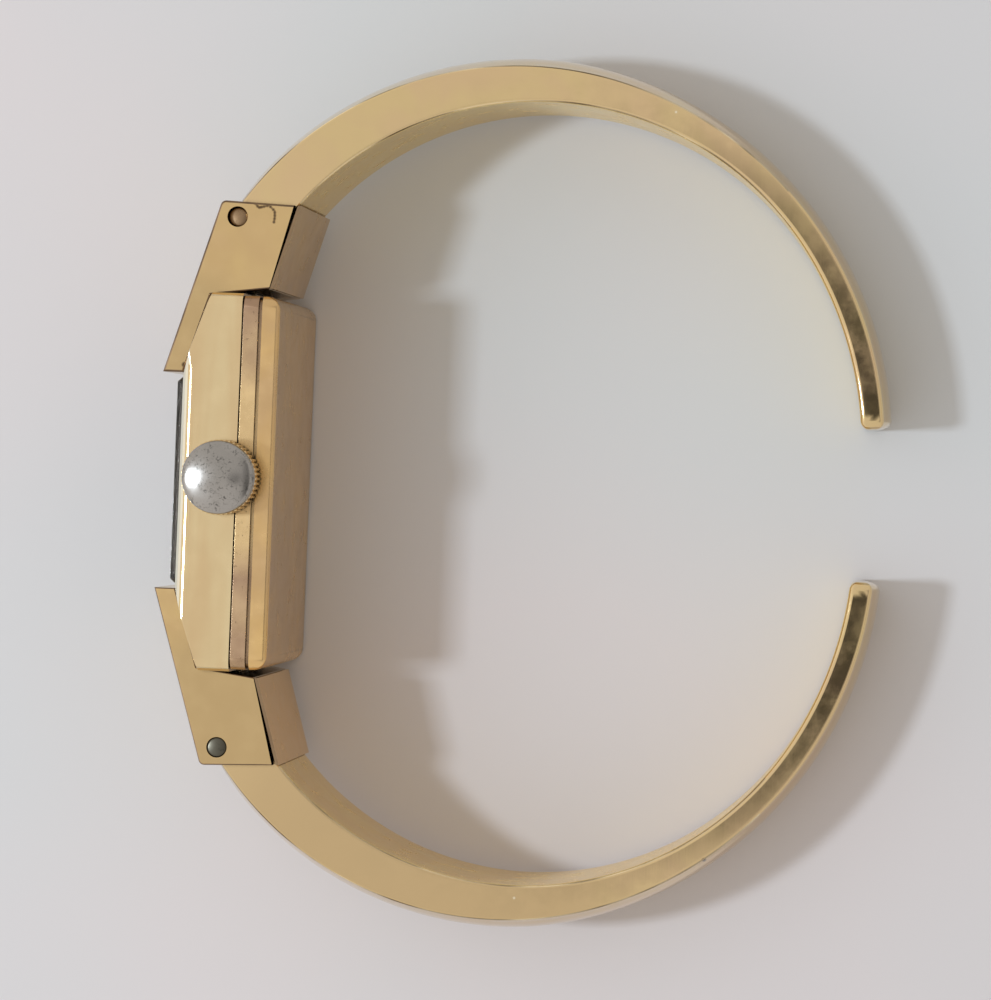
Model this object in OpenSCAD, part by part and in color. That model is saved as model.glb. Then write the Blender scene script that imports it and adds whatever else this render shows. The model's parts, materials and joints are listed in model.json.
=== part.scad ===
/* [Case] */
// Length of the case from 12 to 6 o'clock
case_len = 24.9; // [23.5:0.1:26.5]
// Width of the case from 3 to 9 o'clock
case_w = 17.5; // [17:0.1:19]
// Height of the front shell above its seam
shell_h = 4.05; // [3.9:0.05:4.3]
// Height of the middle band
band_h = 1.35; // [1.1:0.05:1.6]
// Height of the case back
back_h = 1.2; // [1.1:0.05:1.5]
// Thickness of the back's flat cover wall
back_wall = 0.8; // [0.6:0.05:0.9]
// Thickness of the case side wall
side_wall = 1.3; // [1:0.05:1.5]
// Thickness of the metal over the dial edge
rim_wall = 1.3; // [1.2:0.05:1.4]
// Radius of the case's upright corners
corner_r = 0.8; // [0.5:0.05:1.2]
// Radius of the back's long lower edges
back_edge_r = 0.3; // [0.15:0.05:0.5]
// Radius of the back's lower edges at 12 and 6 o'clock
back_end_r = 1; // [0.6:0.05:1.1]
// Length by which band and back fall short of the shell at each end
end_step = 0.15; // [0.05:0.05:0.2]
// Height of the chamfer along the long front edges
side_chamfer = 0.5; // [0.4:0.05:0.6]
// Drop of the front face from the end of its flat to the case end
end_drop = 1.95; // [1.9:0.05:2.1]
// Length of each sloping end of the front face
bevel_len = 5.55; // [5.2:0.05:5.65]
// Depth of the grooves that part the band from its neighbours
seam_groove = 0.22; // [0.1:0.02:0.35]
// Width of the groove towards the front shell
seam_w = 0.1; // [0.06:0.02:0.2]
// Width of the groove towards the case back
back_seam_w = 0.24; // [0.1:0.02:0.3]

/* [Glass and dial] */
// Gap between the glass and the lip of each end piece
glass_gap = 0.25; // [0.15:0.05:0.6]
// Width of the glass
glass_w = 12.4; // [11.4:0.1:12.8]
// Height of the glass above the front face
glass_rise = 0.55; // [0.45:0.05:0.7]
// Thickness of the glass
glass_t = 1.15; // [1:0.05:1.3]
// Width of the seal round the glass
glass_seal_w = 0.25; // [0.15:0.05:0.35]
// Width of the ledge under the glass
glass_ledge = 0.45; // [0.3:0.05:0.6]
// Thickness of the dial
dial_t = 0.25; // [0.2:0.05:0.35]
// Length of the hour hand from the centre
hour_hand_len = 3.4; // [2.8:0.1:4]
// Length of the minute hand from the centre
minute_hand_len = 4.9; // [4.2:0.1:5.2]
// Length of an hour marker
marker_len = 1.1; // [0.8:0.05:1.4]
// Width of an hour marker
marker_w = 0.3; // [0.2:0.02:0.4]

/* [End pieces] */
// Width of the end pieces
hood_w = 14.5; // [13.9:0.1:15.5]
// Reach of an end piece past the case
hood_len = 6.42; // [6.3:0.01:6.6]
// Drop of the outer end's front corner below the front face
hood_end_drop = 2.15; // [2.1:0.05:2.3]
// Slope of the end piece's front face in degrees
hood_slope = 17; // [16:0.5:18]
// Reach of the lip over the case
lip_len = 5.2; // [4.9:0.05:5.3]
// Thickness of the lip at its tip
lip_t = 1.4; // [1.2:0.05:1.4]
// Depth of the back face at the outer end
hood_back_end = 3.44; // [3.35:0.01:3.55]
// Depth of the back face beside the case
hood_back_case = 1.76; // [1.6:0.02:1.9]
// Gap between the case end and the end piece's back edge
hood_back_gap = 0.6; // [0.45:0.05:0.85]
// Thickness of the back cover plate
cover_t = 0.2; // [0.15:0.05:0.3]
// Opening of the seam behind the cover plate at its hinge end
cover_seam = 0.3; // [0.1:0.05:0.4]
// Thickness of the cheeks beside the arm
cheek = 1.1; // [0.9:0.05:1.3]
// Radius of the hinge pin
pin_r = 0.68; // [0.6:0.01:0.7]
// Running clearance of the hinge pin in the arm
pin_gap = 0.03; // [0.02:0.01:0.05]
// Distance of the hinge pins from the case end
pin_out = 5.35; // [5.3:0.01:5.4]
// Height of the hinge pins above the seam
pin_z = 0.8; // [0.75:0.01:0.85]
// Radius of the arm's knuckle round the pin
knuckle_r = 1.05; // [1:0.01:1.08]
// Gap between the knuckle and its socket
knuckle_gap = 0.07; // [0.05:0.01:0.1]
// Width of the tongue that joins case and end piece
tongue_w = 6; // [5:0.1:7]
// Reach of the tongue past the case end
tongue_len = 2.3; // [2:0.1:2.4]
// Thickness of the tongue
tongue_t = 1.1; // [0.9:0.05:1.2]
// Radius of the screws that hold the tongue
end_screw_r = 0.35; // [0.3:0.01:0.4]

/* [Bracelet arms] */
// Width of an arm at its tip
arm_tip_w = 7.7; // [7:0.1:8.5]
// Radius of the dome across the arm's outer face
dome_r = 24; // [20:1:30]
// Crown radius of the arm's outer face near the hinge
outer_r = 23.82; // [22:0.02:25]
// Growth of that radius towards the tip
outer_ease = 2.21; // [1.8:0.01:2.6]
// Angle at which the two outer arcs join
outer_join = 72.5; // [68:0.5:76]
// Reach of the outer face past the pin, away from the case
root_out = 1.37; // [1.3:0.01:1.45]
// Reach of the outer face past the pin, towards the front
root_front = 0.79; // [0.7:0.01:0.85]
// Difference between the outer and inner radius near the hinge
inner_less = 2.36; // [2.2:0.01:2.5]
// Growth of the inner radius towards the tip
inner_ease = 3.39; // [3:0.01:3.8]
// Angle at which the two inner arcs join
inner_join = 32.2; // [30:0.2:34]
// Shift of the inner arc's centre towards the tips
inner_back = 1.71; // [1.65:0.01:1.8]
// Shift of the inner arc's centre towards the middle line
inner_side = 0.58; // [0.5:0.01:0.65]
// Half of the opening between the arm tips
tip_y = 5.3; // [4.8:0.1:6]
// Angle to which an arm swings open
arm_open = 25; // [15:1:25]

/* [Crown] */
// Diameter of the crown
crown_d = 5; // [4.4:0.1:5.4]
// Length of the crown's fluted rim
crown_len = 2.1; // [1.8:0.1:2.4]
// Rise of the crown's domed steel cap
cap_rise = 0.45; // [0.35:0.05:0.6]
// Number of flutes round the crown
flutes = 48; // [36:2:60]
// Gap between the crown and the case side
crown_gap = 0.25; // [0.2:0.05:0.4]
// Height of the crown's axis above the seam
crown_z = 0.78; // [0.7:0.01:0.82]
// Offset of the crown's axis towards 12 o'clock
crown_y = 0.3; // [0.2:0.05:0.4]
// Outer radius of the crown tube
tube_r = 0.62; // [0.58:0.01:0.65]
// Radius of the winding stem
stem_r = 0.36; // [0.32:0.01:0.4]
// Running clearance of the stem in its bores
stem_gap = 0.04; // [0.03:0.01:0.06]
// Travel of the crown from winding to hand setting
crown_pull = 0.8; // [0.6:0.05:0.8]

/* [Movement] */
// Length of the main plate
plate_len = 15; // [14.8:0.1:15.4]
// Width of the main plate
plate_w = 13.2; // [13:0.1:13.6]
// Radius of the barrel's drum
drum_r = 2.95; // [2.9:0.01:3]
// Height of the barrel
drum_h = 1.1; // [1:0.02:1.15]
// Turns of the mainspring
spring_turns = 7; // [5:1:9]
// Thickness of the going train's wheels
wheel_t = 0.12; // [0.1:0.01:0.14]
// Radius of the balance wheel
balance_r = 1.8; // [1.6:0.05:1.9]
// Radius of the train's arbors
arbor_r = 0.14; // [0.1:0.01:0.16]
// Turns of the hairspring
hair_turns = 6; // [4:1:8]

/* [Hidden] */
$fn = 64;

steel = "silver";
gold = [0.8, 0.67, 0.45];
brass = [0.78, 0.65, 0.35];

eps = 0.01;
fit_gap = 0.05;
near_gap = 0.1;

// Case levels, measured from the seam between front shell and middle band, positive towards the dial
back_z = -band_h - back_h;
floor_z = back_z + back_wall;
front_inner_z = shell_h - rim_wall;
glass_top = shell_h + glass_rise;
front_flat = case_len / 2 - bevel_len;
body_len = case_len - 2 * end_step;
cavity_w = case_w - 2 * side_wall;
cavity_len = 2 * front_flat + 2;
seal_h = 0.4;

// Dial side levels
dial_top = front_inner_z - fit_gap;
dial_z = dial_top - dial_t;
dial_len = cavity_len - 4 * fit_gap;
dial_w = cavity_w - 4 * fit_gap;
hand_t = 0.12;
hour_hand_z = dial_top + 0.15;
minute_hand_z = hour_hand_z + hand_t + 0.13;
hand_hub_r = 0.75;
marker_t = 0.12;

// End piece outline
hood_end = case_len / 2 + hood_len;
hood_end_top = shell_h - hood_end_drop;
hood_back_near = case_len / 2 + hood_back_gap;
lip_tip = case_len / 2 - lip_len;
glass_len = 2 * (lip_tip - glass_gap);
pin_y = case_len / 2 + pin_out;
hood_rise = tan(hood_slope);
lip_top = hood_end_top + (hood_end - lip_tip) * hood_rise;
lip_gap = 0.3;
hood_near = case_len / 2 + fit_gap;
hood_end_r = 0.4;
hood_end_lean = 0.2;
slot_w = hood_w - 2 * cheek;
arm_root_w = slot_w - 2 * fit_gap;

// Bracelet arcs: the outer one passes the hinge, and each second centre lies on the line of its join
outer_root = [-pin_z - root_front, pin_y + root_out];
outer_root_dir = 145;
outer_c = outer_root - outer_r * [cos(outer_root_dir), sin(outer_root_dir)];
outer_tip_r = outer_r + outer_ease;
outer_tip_c = outer_c - outer_ease * [cos(outer_join), sin(outer_join)];
inner_r = outer_r - inner_less;
inner_c = outer_c + [inner_back, -inner_side];
inner_tip_r = inner_r + inner_ease;
inner_tip_c = inner_c - inner_ease * [cos(inner_join), sin(inner_join)];
band_depth = 5;
root_angle = 158;
tip_angle = -6;
// The inner cuts run past the arm's ends by these angles
cut_over = 20;
tip_back = outer_tip_c[0] + sqrt(pow(outer_tip_r, 2) - pow(tip_y - outer_tip_c[1], 2))
    - (dome_r - sqrt(pow(dome_r, 2) - pow(arm_tip_w / 2, 2)));

// Rest pose: the case's lower back edge and both arm tips touch the surface
rest_run = tip_back - (-back_z - back_edge_r);
rest_fall = case_w / 2 - back_edge_r - arm_tip_w / 2;
tilt = asin(back_edge_r / sqrt(pow(rest_run, 2) + pow(rest_fall, 2))) + atan2(rest_fall, rest_run);
rest_z = arm_tip_w / 2 * cos(tilt) + tip_back * sin(tilt);
rest_x = -(reach(tip_back, arm_tip_w / 2) + reach(-lip_top, hood_w / 2 * -1)) / 2;
function reach(back, up) = back * cos(tilt) + up * sin(tilt);

// Crown and stem
crown_x = case_w / 2 + crown_gap;
cap_lip = 0.05;
cap_edge = 0.2;
cap_spigot_r = 1.6;
crown_end = crown_x + crown_len;
tube_len = 1.6;
clutch_r = 0.75;
clutch_x = 2.75;
clutch_len = 0.8;
pinion_x = 3.95;
pinion_len = 0.6;
square_r = 0.3;
// The square still holds the clutch when the crown is pulled
stem_start = clutch_x + 0.25 - crown_pull;
crown_recess = crown_pull + 0.3;
stem_end = crown_recess + 0.6;
groove_x = 5.4;
groove_len = 0.5;
groove_r = 0.2;

// Movement levels, from the back of the movement to its dial side
bridge_z = -0.9;
plate_z = -0.25;
plate_top = 1.7;
winding_z = -1.2;
winding_t = 0.25;
centre_z = -0.2;
fourth_z = 0;
third_z = 0.2;
escape_z = 0.3;
balance_z = -0.55;
balance_t = 0.2;
cock_z = -1.3;
cock_t = 0.4;
hair_z = -0.78;
motion_z = plate_top + 0.1;
motion_t = 0.15;
arbor_back = -0.8;
arbor_front = 0.95;
centre_r = 0.2;
barrel_arbor_r = 0.5;
escape_t = 0.1;
pinion_over = 0.02;
recess_gap = 0.18;
pivot_gap = 0.03;
// A bore cut as a twelve-sided hole keeps this share of its radius at the flats
flat_share = cos(180 / 12);

// Tooth sizes and counts of each meshing pair
tip_share = 0.8;
root_share = 1;
barrel_pair = [56, 12, 0.11];
centre_pair = [64, 8, 0.08];
third_pair = [60, 8, 0.066];
fourth_pair = [60, 6, 0.058];
winding_pair = [50, 32, 0.1];
minute_pair = [12, 36, 0.085];
hour_pair = [10, 40, 0.0816];
escape_teeth = 15;
escape_r = 1;
pinion_teeth = 14;
pinion_mod = 0.135;
contrate_teeth = 19;
contrate_r = contrate_teeth * pinion_mod / 2;
contrate_w = 0.3;

function spacing(pair) = (pair[0] + pair[1]) * pair[2] / 2;
function go(start, distance, direction) = start + distance * [cos(direction), sin(direction)];
function bearing(a, b) = atan2(b[1] - a[1], b[0] - a[0]);
function gap_phase(direction, teeth) = direction + 180 + 180 / teeth;

// Centres of the movement's wheels, seen from the dial
centre_at = [0, 0];
barrel_dir = 80.8;
barrel_at = go(centre_at, spacing(barrel_pair), barrel_dir);
third_dir = 222;
third_at = go(centre_at, spacing(centre_pair), third_dir);
fourth_dir = 312;
fourth_at = go(third_at, spacing(third_pair), fourth_dir);
escape_dir = 342;
escape_at = go(fourth_at, spacing(fourth_pair), escape_dir);
pallet_dir = 25;
pallet_at = go(escape_at, 1.4, pallet_dir);
balance_dir = 10;
balance_at = go(pallet_at, 1.7, balance_dir);
crown_wheel_at = [
    barrel_at[0] + sqrt(pow(spacing(winding_pair), 2) - pow(barrel_at[1] - crown_y, 2)), crown_y
];
minute_dir = 37;
minute_at = go(centre_at, spacing(minute_pair), minute_dir);

// Helpers

// The watch stands with its crown side up and its back towards +X
module watch() {
    translate([rest_x, 0, rest_z]) rotate([0, tilt - 90, 0]) children();
}

// The bangle's plane: X runs from the seam to the wrist, Y to 12 o'clock, Z to the crown
module bangle() {
    translate([rest_x, 0, rest_z]) rotate([0, tilt, 0]) children();
}

// A shape drawn for 12 o'clock, or its mirror image for 6 o'clock
module side(six) {
    mirror([0, six ? 1 : 0, 0]) children();
}

module rounded_rect(length, width, r) {
    square([width - 2 * r, length], center = true);
    square([width, length - 2 * r], center = true);
    for (x = [-1, 1], y = [-1, 1])
        translate([x * (width / 2 - r), y * (length / 2 - r)]) circle(r);
}

module slab(length, width, r, z0, z1) {
    translate([0, 0, z0]) linear_extrude(z1 - z0) rounded_rect(length, width, r);
}

module box(x0, x1, y0, y1, z0, z1) {
    translate([x0, y0, z0]) cube([x1 - x0, y1 - y0, z1 - z0]);
}

// An outline in the plane of y and z, drawn out along x about the middle
module across(width) {
    translate([-width / 2, 0, 0]) rotate([90, 0, 90]) linear_extrude(width) children();
}

// A many-sided disc with flat faces
module disc(r, z0, z1, sides = 48) {
    translate([0, 0, z0]) linear_extrude(z1 - z0)
        polygon([for (i = [0 : sides - 1]) r * [cos(i * 360 / sides), sin(i * 360 / sides)]]);
}

module pivot(r, z0, z1) {
    disc(r, z0, z1, 12);
}

module pivot_bore(r, z0, z1) {
    disc((r + pivot_gap) / flat_share, z0 - eps, z1 + eps, 12);
}

module at(place) {
    translate([place[0], place[1], 0]) children();
}

function tooth_points(teeth, module_size, phase) = [
    for (i = [0 : teeth - 1])
        for (corner = [[-0.32, -root_share], [-0.14, tip_share], [0.14, tip_share], [0.32, -root_share]])
            let (r = module_size * (teeth / 2 + corner[1]), a = phase + (i + corner[0]) * 360 / teeth)
                [r * cos(a), r * sin(a)]
];

module gear(teeth, module_size, z0, z1, phase = 0) {
    translate([0, 0, z0]) linear_extrude(z1 - z0) polygon(tooth_points(teeth, module_size, phase));
}

// A wheel with a rim and spokes instead of a full web
module spoked(teeth, module_size, z0, z1, phase, spokes) {
    r = module_size * teeth / 2;
    rim = 0.16;
    difference() {
        gear(teeth, module_size, z0, z1, phase);
        disc(r - rim - module_size, z0 - eps, z1 + eps);
    }
    disc(0.16 * r + arbor_r, z0, z1, 12);
    for (i = [0 : spokes - 1])
        rotate(i * 360 / spokes)
            box(0, r - rim - module_size + eps, -0.09, 0.09, z0, z1);
}

// A flat spiral strip drawn from its inner to its outer end
function spiral(r0, r1, turns, steps) = [
    for (i = [0 : steps]) let (a = turns * 360 * i / steps, r = r0 + (r1 - r0) * i / steps)
        [r * cos(a), r * sin(a)]
];

module spiral_strip(r0, r1, turns, strip, z0, z1, per_turn) {
    steps = turns * per_turn;
    outer = spiral(r0 + strip / 2, r1 + strip / 2, turns, steps);
    inner = spiral(r0 - strip / 2, r1 - strip / 2, turns, steps);
    translate([0, 0, z0]) linear_extrude(z1 - z0)
        polygon(concat(outer, [for (i = [steps : -1 : 0]) inner[i]]));
}

// A rod along x whose section is turned to the crown's axis
module on_stem(x0, x1) {
    translate([x0, crown_y, crown_z]) rotate([90, 0, 90]) linear_extrude(x1 - x0) children();
}

// Case

module shell_outline() {
    edge = case_w / 2;
    top = shell_h - side_chamfer;
    intersection() {
        slab(case_len, case_w, corner_r, 0, shell_h);
        rotate([90, 0, 0]) linear_extrude(case_len + 2, center = true) polygon([
            [-edge, -1], [edge, -1], [edge, top], [edge - side_chamfer, shell_h],
            [side_chamfer - edge, shell_h], [-edge, top]
        ]);
        across(case_w + 2) polygon([
            [-case_len / 2, -1], [case_len / 2, -1], [case_len / 2, shell_h - end_drop],
            [front_flat, shell_h], [-front_flat, shell_h], [-case_len / 2, shell_h - end_drop]
        ]);
    }
}

module tongues() {
    for (six = [false, true])
        side(six) box(-tongue_w / 2, tongue_w / 2, case_len / 2 - 1, case_len / 2 + tongue_len, 0, tongue_t);
}

module front_shell() color(gold) watch() difference() {
    union() {
        shell_outline();
        difference() {
            tongues();
            for (s = [-1, 1], x = [-1, 1])
                translate([x * end_screw_x, s * end_screw_y, -1]) cylinder(r = end_screw_r, h = 3);
        }
    }
    slab(cavity_len, cavity_w, 0.5, -1, front_inner_z);
    slab(glass_len - 2 * glass_ledge, glass_w - 2 * glass_ledge, 0.4, 0, shell_h + 1);
    slab(glass_len + 2 * glass_seal_w, glass_w + 2 * glass_seal_w, 0.7, glass_top - glass_t, shell_h + 1);
    translate([cavity_w / 2 - 1, crown_y, crown_z]) rotate([0, 90, 0])
        cylinder(r = tube_r, h = side_wall + 2);
}

end_screw_x = tongue_w / 2 - 1;
end_screw_y = case_len / 2 + tongue_len / 2 + 0.15;

module crystal() color([0.85, 0.9, 0.92, 0.4]) watch() {
    edge = 0.35;
    intersection() {
        slab(glass_len, glass_w, 0.45, glass_top - glass_t, glass_top);
        across(glass_w + 2) polygon([
            [-glass_len / 2, 0], [glass_len / 2, 0], [glass_len / 2, glass_top - edge],
            [glass_len / 2 - edge, glass_top], [edge - glass_len / 2, glass_top],
            [-glass_len / 2, glass_top - edge]
        ]);
    }
}

module crystal_seal() color("dimgray") watch() difference() {
    slab(glass_len + 2 * glass_seal_w, glass_w + 2 * glass_seal_w, 0.7, glass_top - glass_t,
        shell_h - fit_gap);
    slab(glass_len, glass_w, 0.45, 0, glass_top);
}

module middle_band() color([0.72, 0.56, 0.42]) watch() difference() {
    union() {
        slab(body_len, case_w, corner_r, back_seam_w - band_h, -seam_w);
        slab(body_len - 2 * seam_groove, case_w - 2 * seam_groove, corner_r, -band_h, 0);
    }
    slab(cavity_len, cavity_w, 0.5, -band_h - 1, 1);
}

module case_back() color(gold) watch() difference() {
    intersection() {
        slab(body_len, case_w, corner_r, back_z, -band_h);
        rotate([90, 0, 0]) linear_extrude(case_len + 2, center = true) back_profile(case_w, back_edge_r);
        across(case_w + 2) back_profile(body_len, back_end_r);
    }
    slab(cavity_len, cavity_w, 0.5, floor_z, 0);
    difference() {
        slab(cavity_len + 2 * seal_w + 0.6, cavity_w + 2 * seal_w + 0.6, 0.8, -band_h - seal_h, 0);
        slab(cavity_len + 0.6, cavity_w + 0.6, 0.5, -band_h - 1, 1);
    }
}

seal_w = 0.4;

module back_profile(width, r) {
    edge = width / 2;
    polygon([
        [-edge, 0], [-edge, back_z + r], [r - edge, back_z],
        [edge - r, back_z], [edge, back_z + r], [edge, 0]
    ]);
    for (s = [-1, 1]) translate([s * (edge - r), back_z + r]) circle(r);
}

module back_seal() color("dimgray") watch() difference() {
    slab(cavity_len + 2 * seal_w + 0.6, cavity_w + 2 * seal_w + 0.6, 0.8, -band_h - seal_h, -band_h);
    slab(cavity_len + 0.6, cavity_w + 0.6, 0.5, -band_h - 1, 1);
}

module crown_tube() color(steel) watch()
    translate([case_w / 2 - tube_len, crown_y, crown_z]) rotate([0, 90, 0]) difference() {
        cylinder(r = tube_r, h = tube_len + crown_gap + crown_recess - near_gap);
        translate([0, 0, -1]) cylinder(r = stem_r + stem_gap, h = tube_len + 4);
    }

// Dial side

module dial() color("ivory") watch() difference() {
    slab(dial_len, dial_w, 0.5, dial_z, dial_top);
    translate([0, 0, dial_z - 1]) cylinder(r = hand_hub_r + fit_gap, h = 2);
}

module hour_markers() color(gold) watch() {
    reach_x = (glass_w / 2 - glass_ledge) - marker_len / 2 - 0.3;
    reach_y = (glass_len / 2 - glass_ledge) - marker_len / 2 - 0.3;
    for (hour = [0 : 11]) {
        a = 90 - 30 * hour;
        r = min(reach_x / max(abs(cos(a)), eps), reach_y / max(abs(sin(a)), eps));
        translate([r * cos(a), r * sin(a), dial_top]) rotate(a)
            box(-marker_len / 2, marker_len / 2, -marker_w / 2, marker_w / 2, 0, marker_t);
    }
}

module plate_outline(grow) {
    cut = 1.4;
    x = plate_w / 2 + grow;
    y = plate_len / 2 + grow;
    polygon([[-x, cut - y], [cut - x, -y], [x - cut, -y], [x, cut - y],
        [x, y - cut], [x - cut, y], [cut - x, y], [-x, y - cut]]);
}

module movement_ring() color(brass) watch() difference() {
    slab(cavity_len - 2 * fit_gap, cavity_w - 2 * fit_gap, 0.45, floor_z + fit_gap, dial_z);
    translate([0, 0, back_z]) linear_extrude(10) plate_outline(fit_gap);
    translate([plate_w / 2 - 1, crown_y, crown_z]) rotate([0, 90, 0]) cylinder(r = tube_r + fit_gap, h = 3);
}

// End pieces, drawn for 12 o'clock in the bangle's plane

function arc(centre, r, from, to, steps) = [
    for (i = [0 : steps]) let (a = from + (to - from) * i / steps) centre + r * [cos(a), sin(a)]
];

module hood_outline() {
    corner_top = hood_end_top + hood_end_r * hood_rise - hood_end_r / cos(hood_slope);
    polygon(concat(
        [[lip_t - lip_top, lip_tip], [-lip_top, lip_tip]],
        arc([-corner_top, hood_end - hood_end_r], hood_end_r, 180 - hood_slope, 90, 8),
        [
            [hood_back_end, hood_end - hood_end_lean],
            [hood_back_case, hood_back_near],
            [-(shell_h - end_drop + lip_gap), hood_near]
        ]
    ));
}

cover_near = [hood_back_case, hood_back_near];
cover_far = [hood_back_end, hood_end - hood_end_lean];
cover_gap = 0.05;

// The strip of the outline that the cover plate fills
module cover_outline() {
    polygon([cover_near, cover_far, cover_far - [cover_t, 0], cover_near - [cover_t, 0]]);
}

// The room cut for it: longer at both ends, and deeper by the seam at the hinge end
module cover_room() {
    past = (cover_far - cover_near) / norm(cover_far - cover_near);
    polygon([
        cover_near - past + [eps, 0], cover_far + past + [eps, 0],
        cover_far + past - [cover_t + cover_seam, 0], cover_near - past - [cover_t + eps, 0]
    ]);
}

root_dir = 51;
root_back = 0.2;
// The flat that lets the arm in stands this many degrees short of upright when the arm is open
entry_spare = 5;
entry_dir = 90 - entry_spare - arm_open;
// The slot and that flat both begin in front of the pin
slot_front = 0.6;
entry_front = 0.1;

module at_pin() {
    translate([-pin_z, pin_y]) children();
}

// Everything on the arm's side of a line through the hinge, moved back by shift
module beyond_root(shift) {
    at_pin() rotate(root_dir) translate([-root_back - shift, -60]) square([80, 90]);
}

module socket_outline() {
    at_pin() circle(knuckle_r + knuckle_gap);
    intersection() {
        beyond_root(fit_gap);
        translate([-pin_z - slot_front, hood_near + 3]) square([8, 10]);
    }
}

module hood_solid() {
    linear_extrude(hood_w, center = true) hood_outline();
}

module end_screw_spots() {
    for (z = [-1, 1]) translate([0, end_screw_y, z * end_screw_x]) rotate([0, 90, 0]) children();
}

screw_head_r = 0.62;
screw_head_h = 0.4;
screw_head_x = hood_back_case - cover_t - fit_gap;
screw_reach = 1.5;

module hood(six) color(gold) bangle() side(six) difference() {
    hood_solid();
    linear_extrude(hood_w + 2, center = true) cover_room();
    linear_extrude(slot_w, center = true) socket_outline();
    at_pin() cylinder(r = pin_r + eps, h = hood_w + 2, center = true);
    translate([-tongue_t - fit_gap, hood_near - 1, -tongue_w / 2 - fit_gap])
        cube([tongue_t + 2 * fit_gap, tongue_len + 1, tongue_w + 2 * fit_gap]);
    end_screw_spots() {
        translate([0, 0, screw_head_x - screw_head_h - fit_gap]) cylinder(r = screw_head_r + fit_gap, h = 3);
        translate([0, 0, -screw_reach - fit_gap]) cylinder(r = end_screw_r, h = 4);
    }
}

module hood_12() hood(false);
module hood_6() hood(true);

module hood_cover(six) color(gold) bangle() side(six)
    linear_extrude(hood_w - 2 * cover_gap, center = true) intersection() {
        cover_outline();
        translate(inner_c) circle(inner_r - near_gap, $fn = 360);
    }

module hood_cover_12() hood_cover(false);
module hood_cover_6() hood_cover(true);

module end_screws(six) color(steel) bangle() side(six) end_screw_spots() {
    translate([0, 0, screw_head_x - screw_head_h]) cylinder(r = screw_head_r, h = screw_head_h);
    translate([0, 0, -screw_reach])
        cylinder(r = end_screw_r - eps, h = screw_reach + screw_head_x - screw_head_h);
}

module end_screws_12() end_screws(false);
module end_screws_6() end_screws(true);

spring_w = 2.8;
pin_recess = 0.5;

module hinge_pin(six, recess) color(steel) bangle() side(six) at_pin()
    translate([0, 0, -hood_w / 2]) cylinder(r = pin_r, h = hood_w - recess);

module hinge_pin_12() hinge_pin(false, pin_recess);
module hinge_pin_6() hinge_pin(true, 0);

module arm_spring(six) color(steel) bangle() side(six) at_pin() difference() {
    cylinder(r = knuckle_r - near_gap, h = spring_w, center = true);
    cylinder(r = pin_r + fit_gap, h = spring_w + 2, center = true);
}

module arm_spring_12() arm_spring(false);
module arm_spring_6() arm_spring(true);

// Bracelet arms

// One stretch of the domed outer band, turned about its own centre
module domed_band(centre, r, from, to) {
    half = asin(arm_root_w / 2 / dome_r) * 1.02;
    translate([centre[0], centre[1], 0]) rotate_extrude(angle = to - from, start = from)
        polygon(concat(
            [[r - band_depth, -dome_r * sin(half)]],
            arc([r - dome_r, 0], dome_r, -half, half, 6),
            [[r - band_depth, dome_r * sin(half)]]
        ));
}

module inner_pie(centre, r, from, to) {
    translate([centre[0], centre[1], 0]) rotate_extrude(angle = to - from, start = from)
        translate([0, -arm_root_w]) square([r, 2 * arm_root_w]);
}

module taper() {
    root = arm_root_w / 2;
    slope = (root - arm_tip_w / 2) / (tip_back - hood_back_end);
    past = 3;
    tip = arm_tip_w / 2 - past * slope;
    rotate([90, 0, 0]) linear_extrude(120, center = true) polygon([
        [-10, -root], [hood_back_end, -root], [tip_back + past, -tip],
        [tip_back + past, tip], [hood_back_end, root], [-10, root]
    ]);
}

// Everything in front of the flat that lets the arm into its end piece
module entry_flat() {
    translate([-pin_z - entry_front, hood_end]) rotate(entry_dir) translate([-8, 0]) square(60);
}

// The stretch of an arm from its hinge to the join of the outer arcs
module root_stretch() difference() {
    intersection() {
        domed_band(outer_c, outer_r, outer_join, root_angle);
        taper();
        linear_extrude(2 * arm_root_w, center = true) difference() {
            beyond_root(0);
            entry_flat();
        }
    }
    inner_pie(inner_c, inner_r, inner_join - cut_over, root_angle + cut_over);
}

// The stretch of an arm from that join to its tip
module tip_stretch() difference() {
    intersection() {
        domed_band(outer_tip_c, outer_tip_r, tip_angle, outer_join);
        taper();
        linear_extrude(2 * arm_root_w, center = true) translate([0, tip_y]) square(60);
    }
    inner_pie(inner_c, inner_r, inner_join - cut_over, root_angle + cut_over);
    inner_pie(inner_tip_c, inner_tip_r, tip_angle - cut_over, inner_join);
}

module bracelet_arm(six) color(gold) bangle() side(six) difference() {
    union() {
        root_stretch();
        tip_stretch();
        at_pin() cylinder(r = knuckle_r, h = arm_root_w, center = true);
    }
    at_pin() cylinder(r = pin_r + pin_gap, h = arm_root_w + 2, center = true);
    at_pin() cylinder(r = knuckle_r + knuckle_gap, h = spring_w + 2 * near_gap, center = true);
}

module bracelet_arm_12() bracelet_arm(false);
module bracelet_arm_6() bracelet_arm(true);

// Crown and stem

function flute_points(r, depth) = [
    for (i = [0 : flutes - 1]) for (k = [[-0.5, 0], [-0.2, 1], [0.2, 1], [0.5, 0]])
        let (a = (i + k[0] * 0.9) * 360 / flutes, q = r - depth * (1 - k[1])) [q * cos(a), q * sin(a)]
];

cap_r = crown_d / 2 - cap_lip;
cap_ball = (pow(cap_r, 2) + pow(cap_rise, 2)) / (2 * cap_rise);
cap_seat = 0.3;

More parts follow.
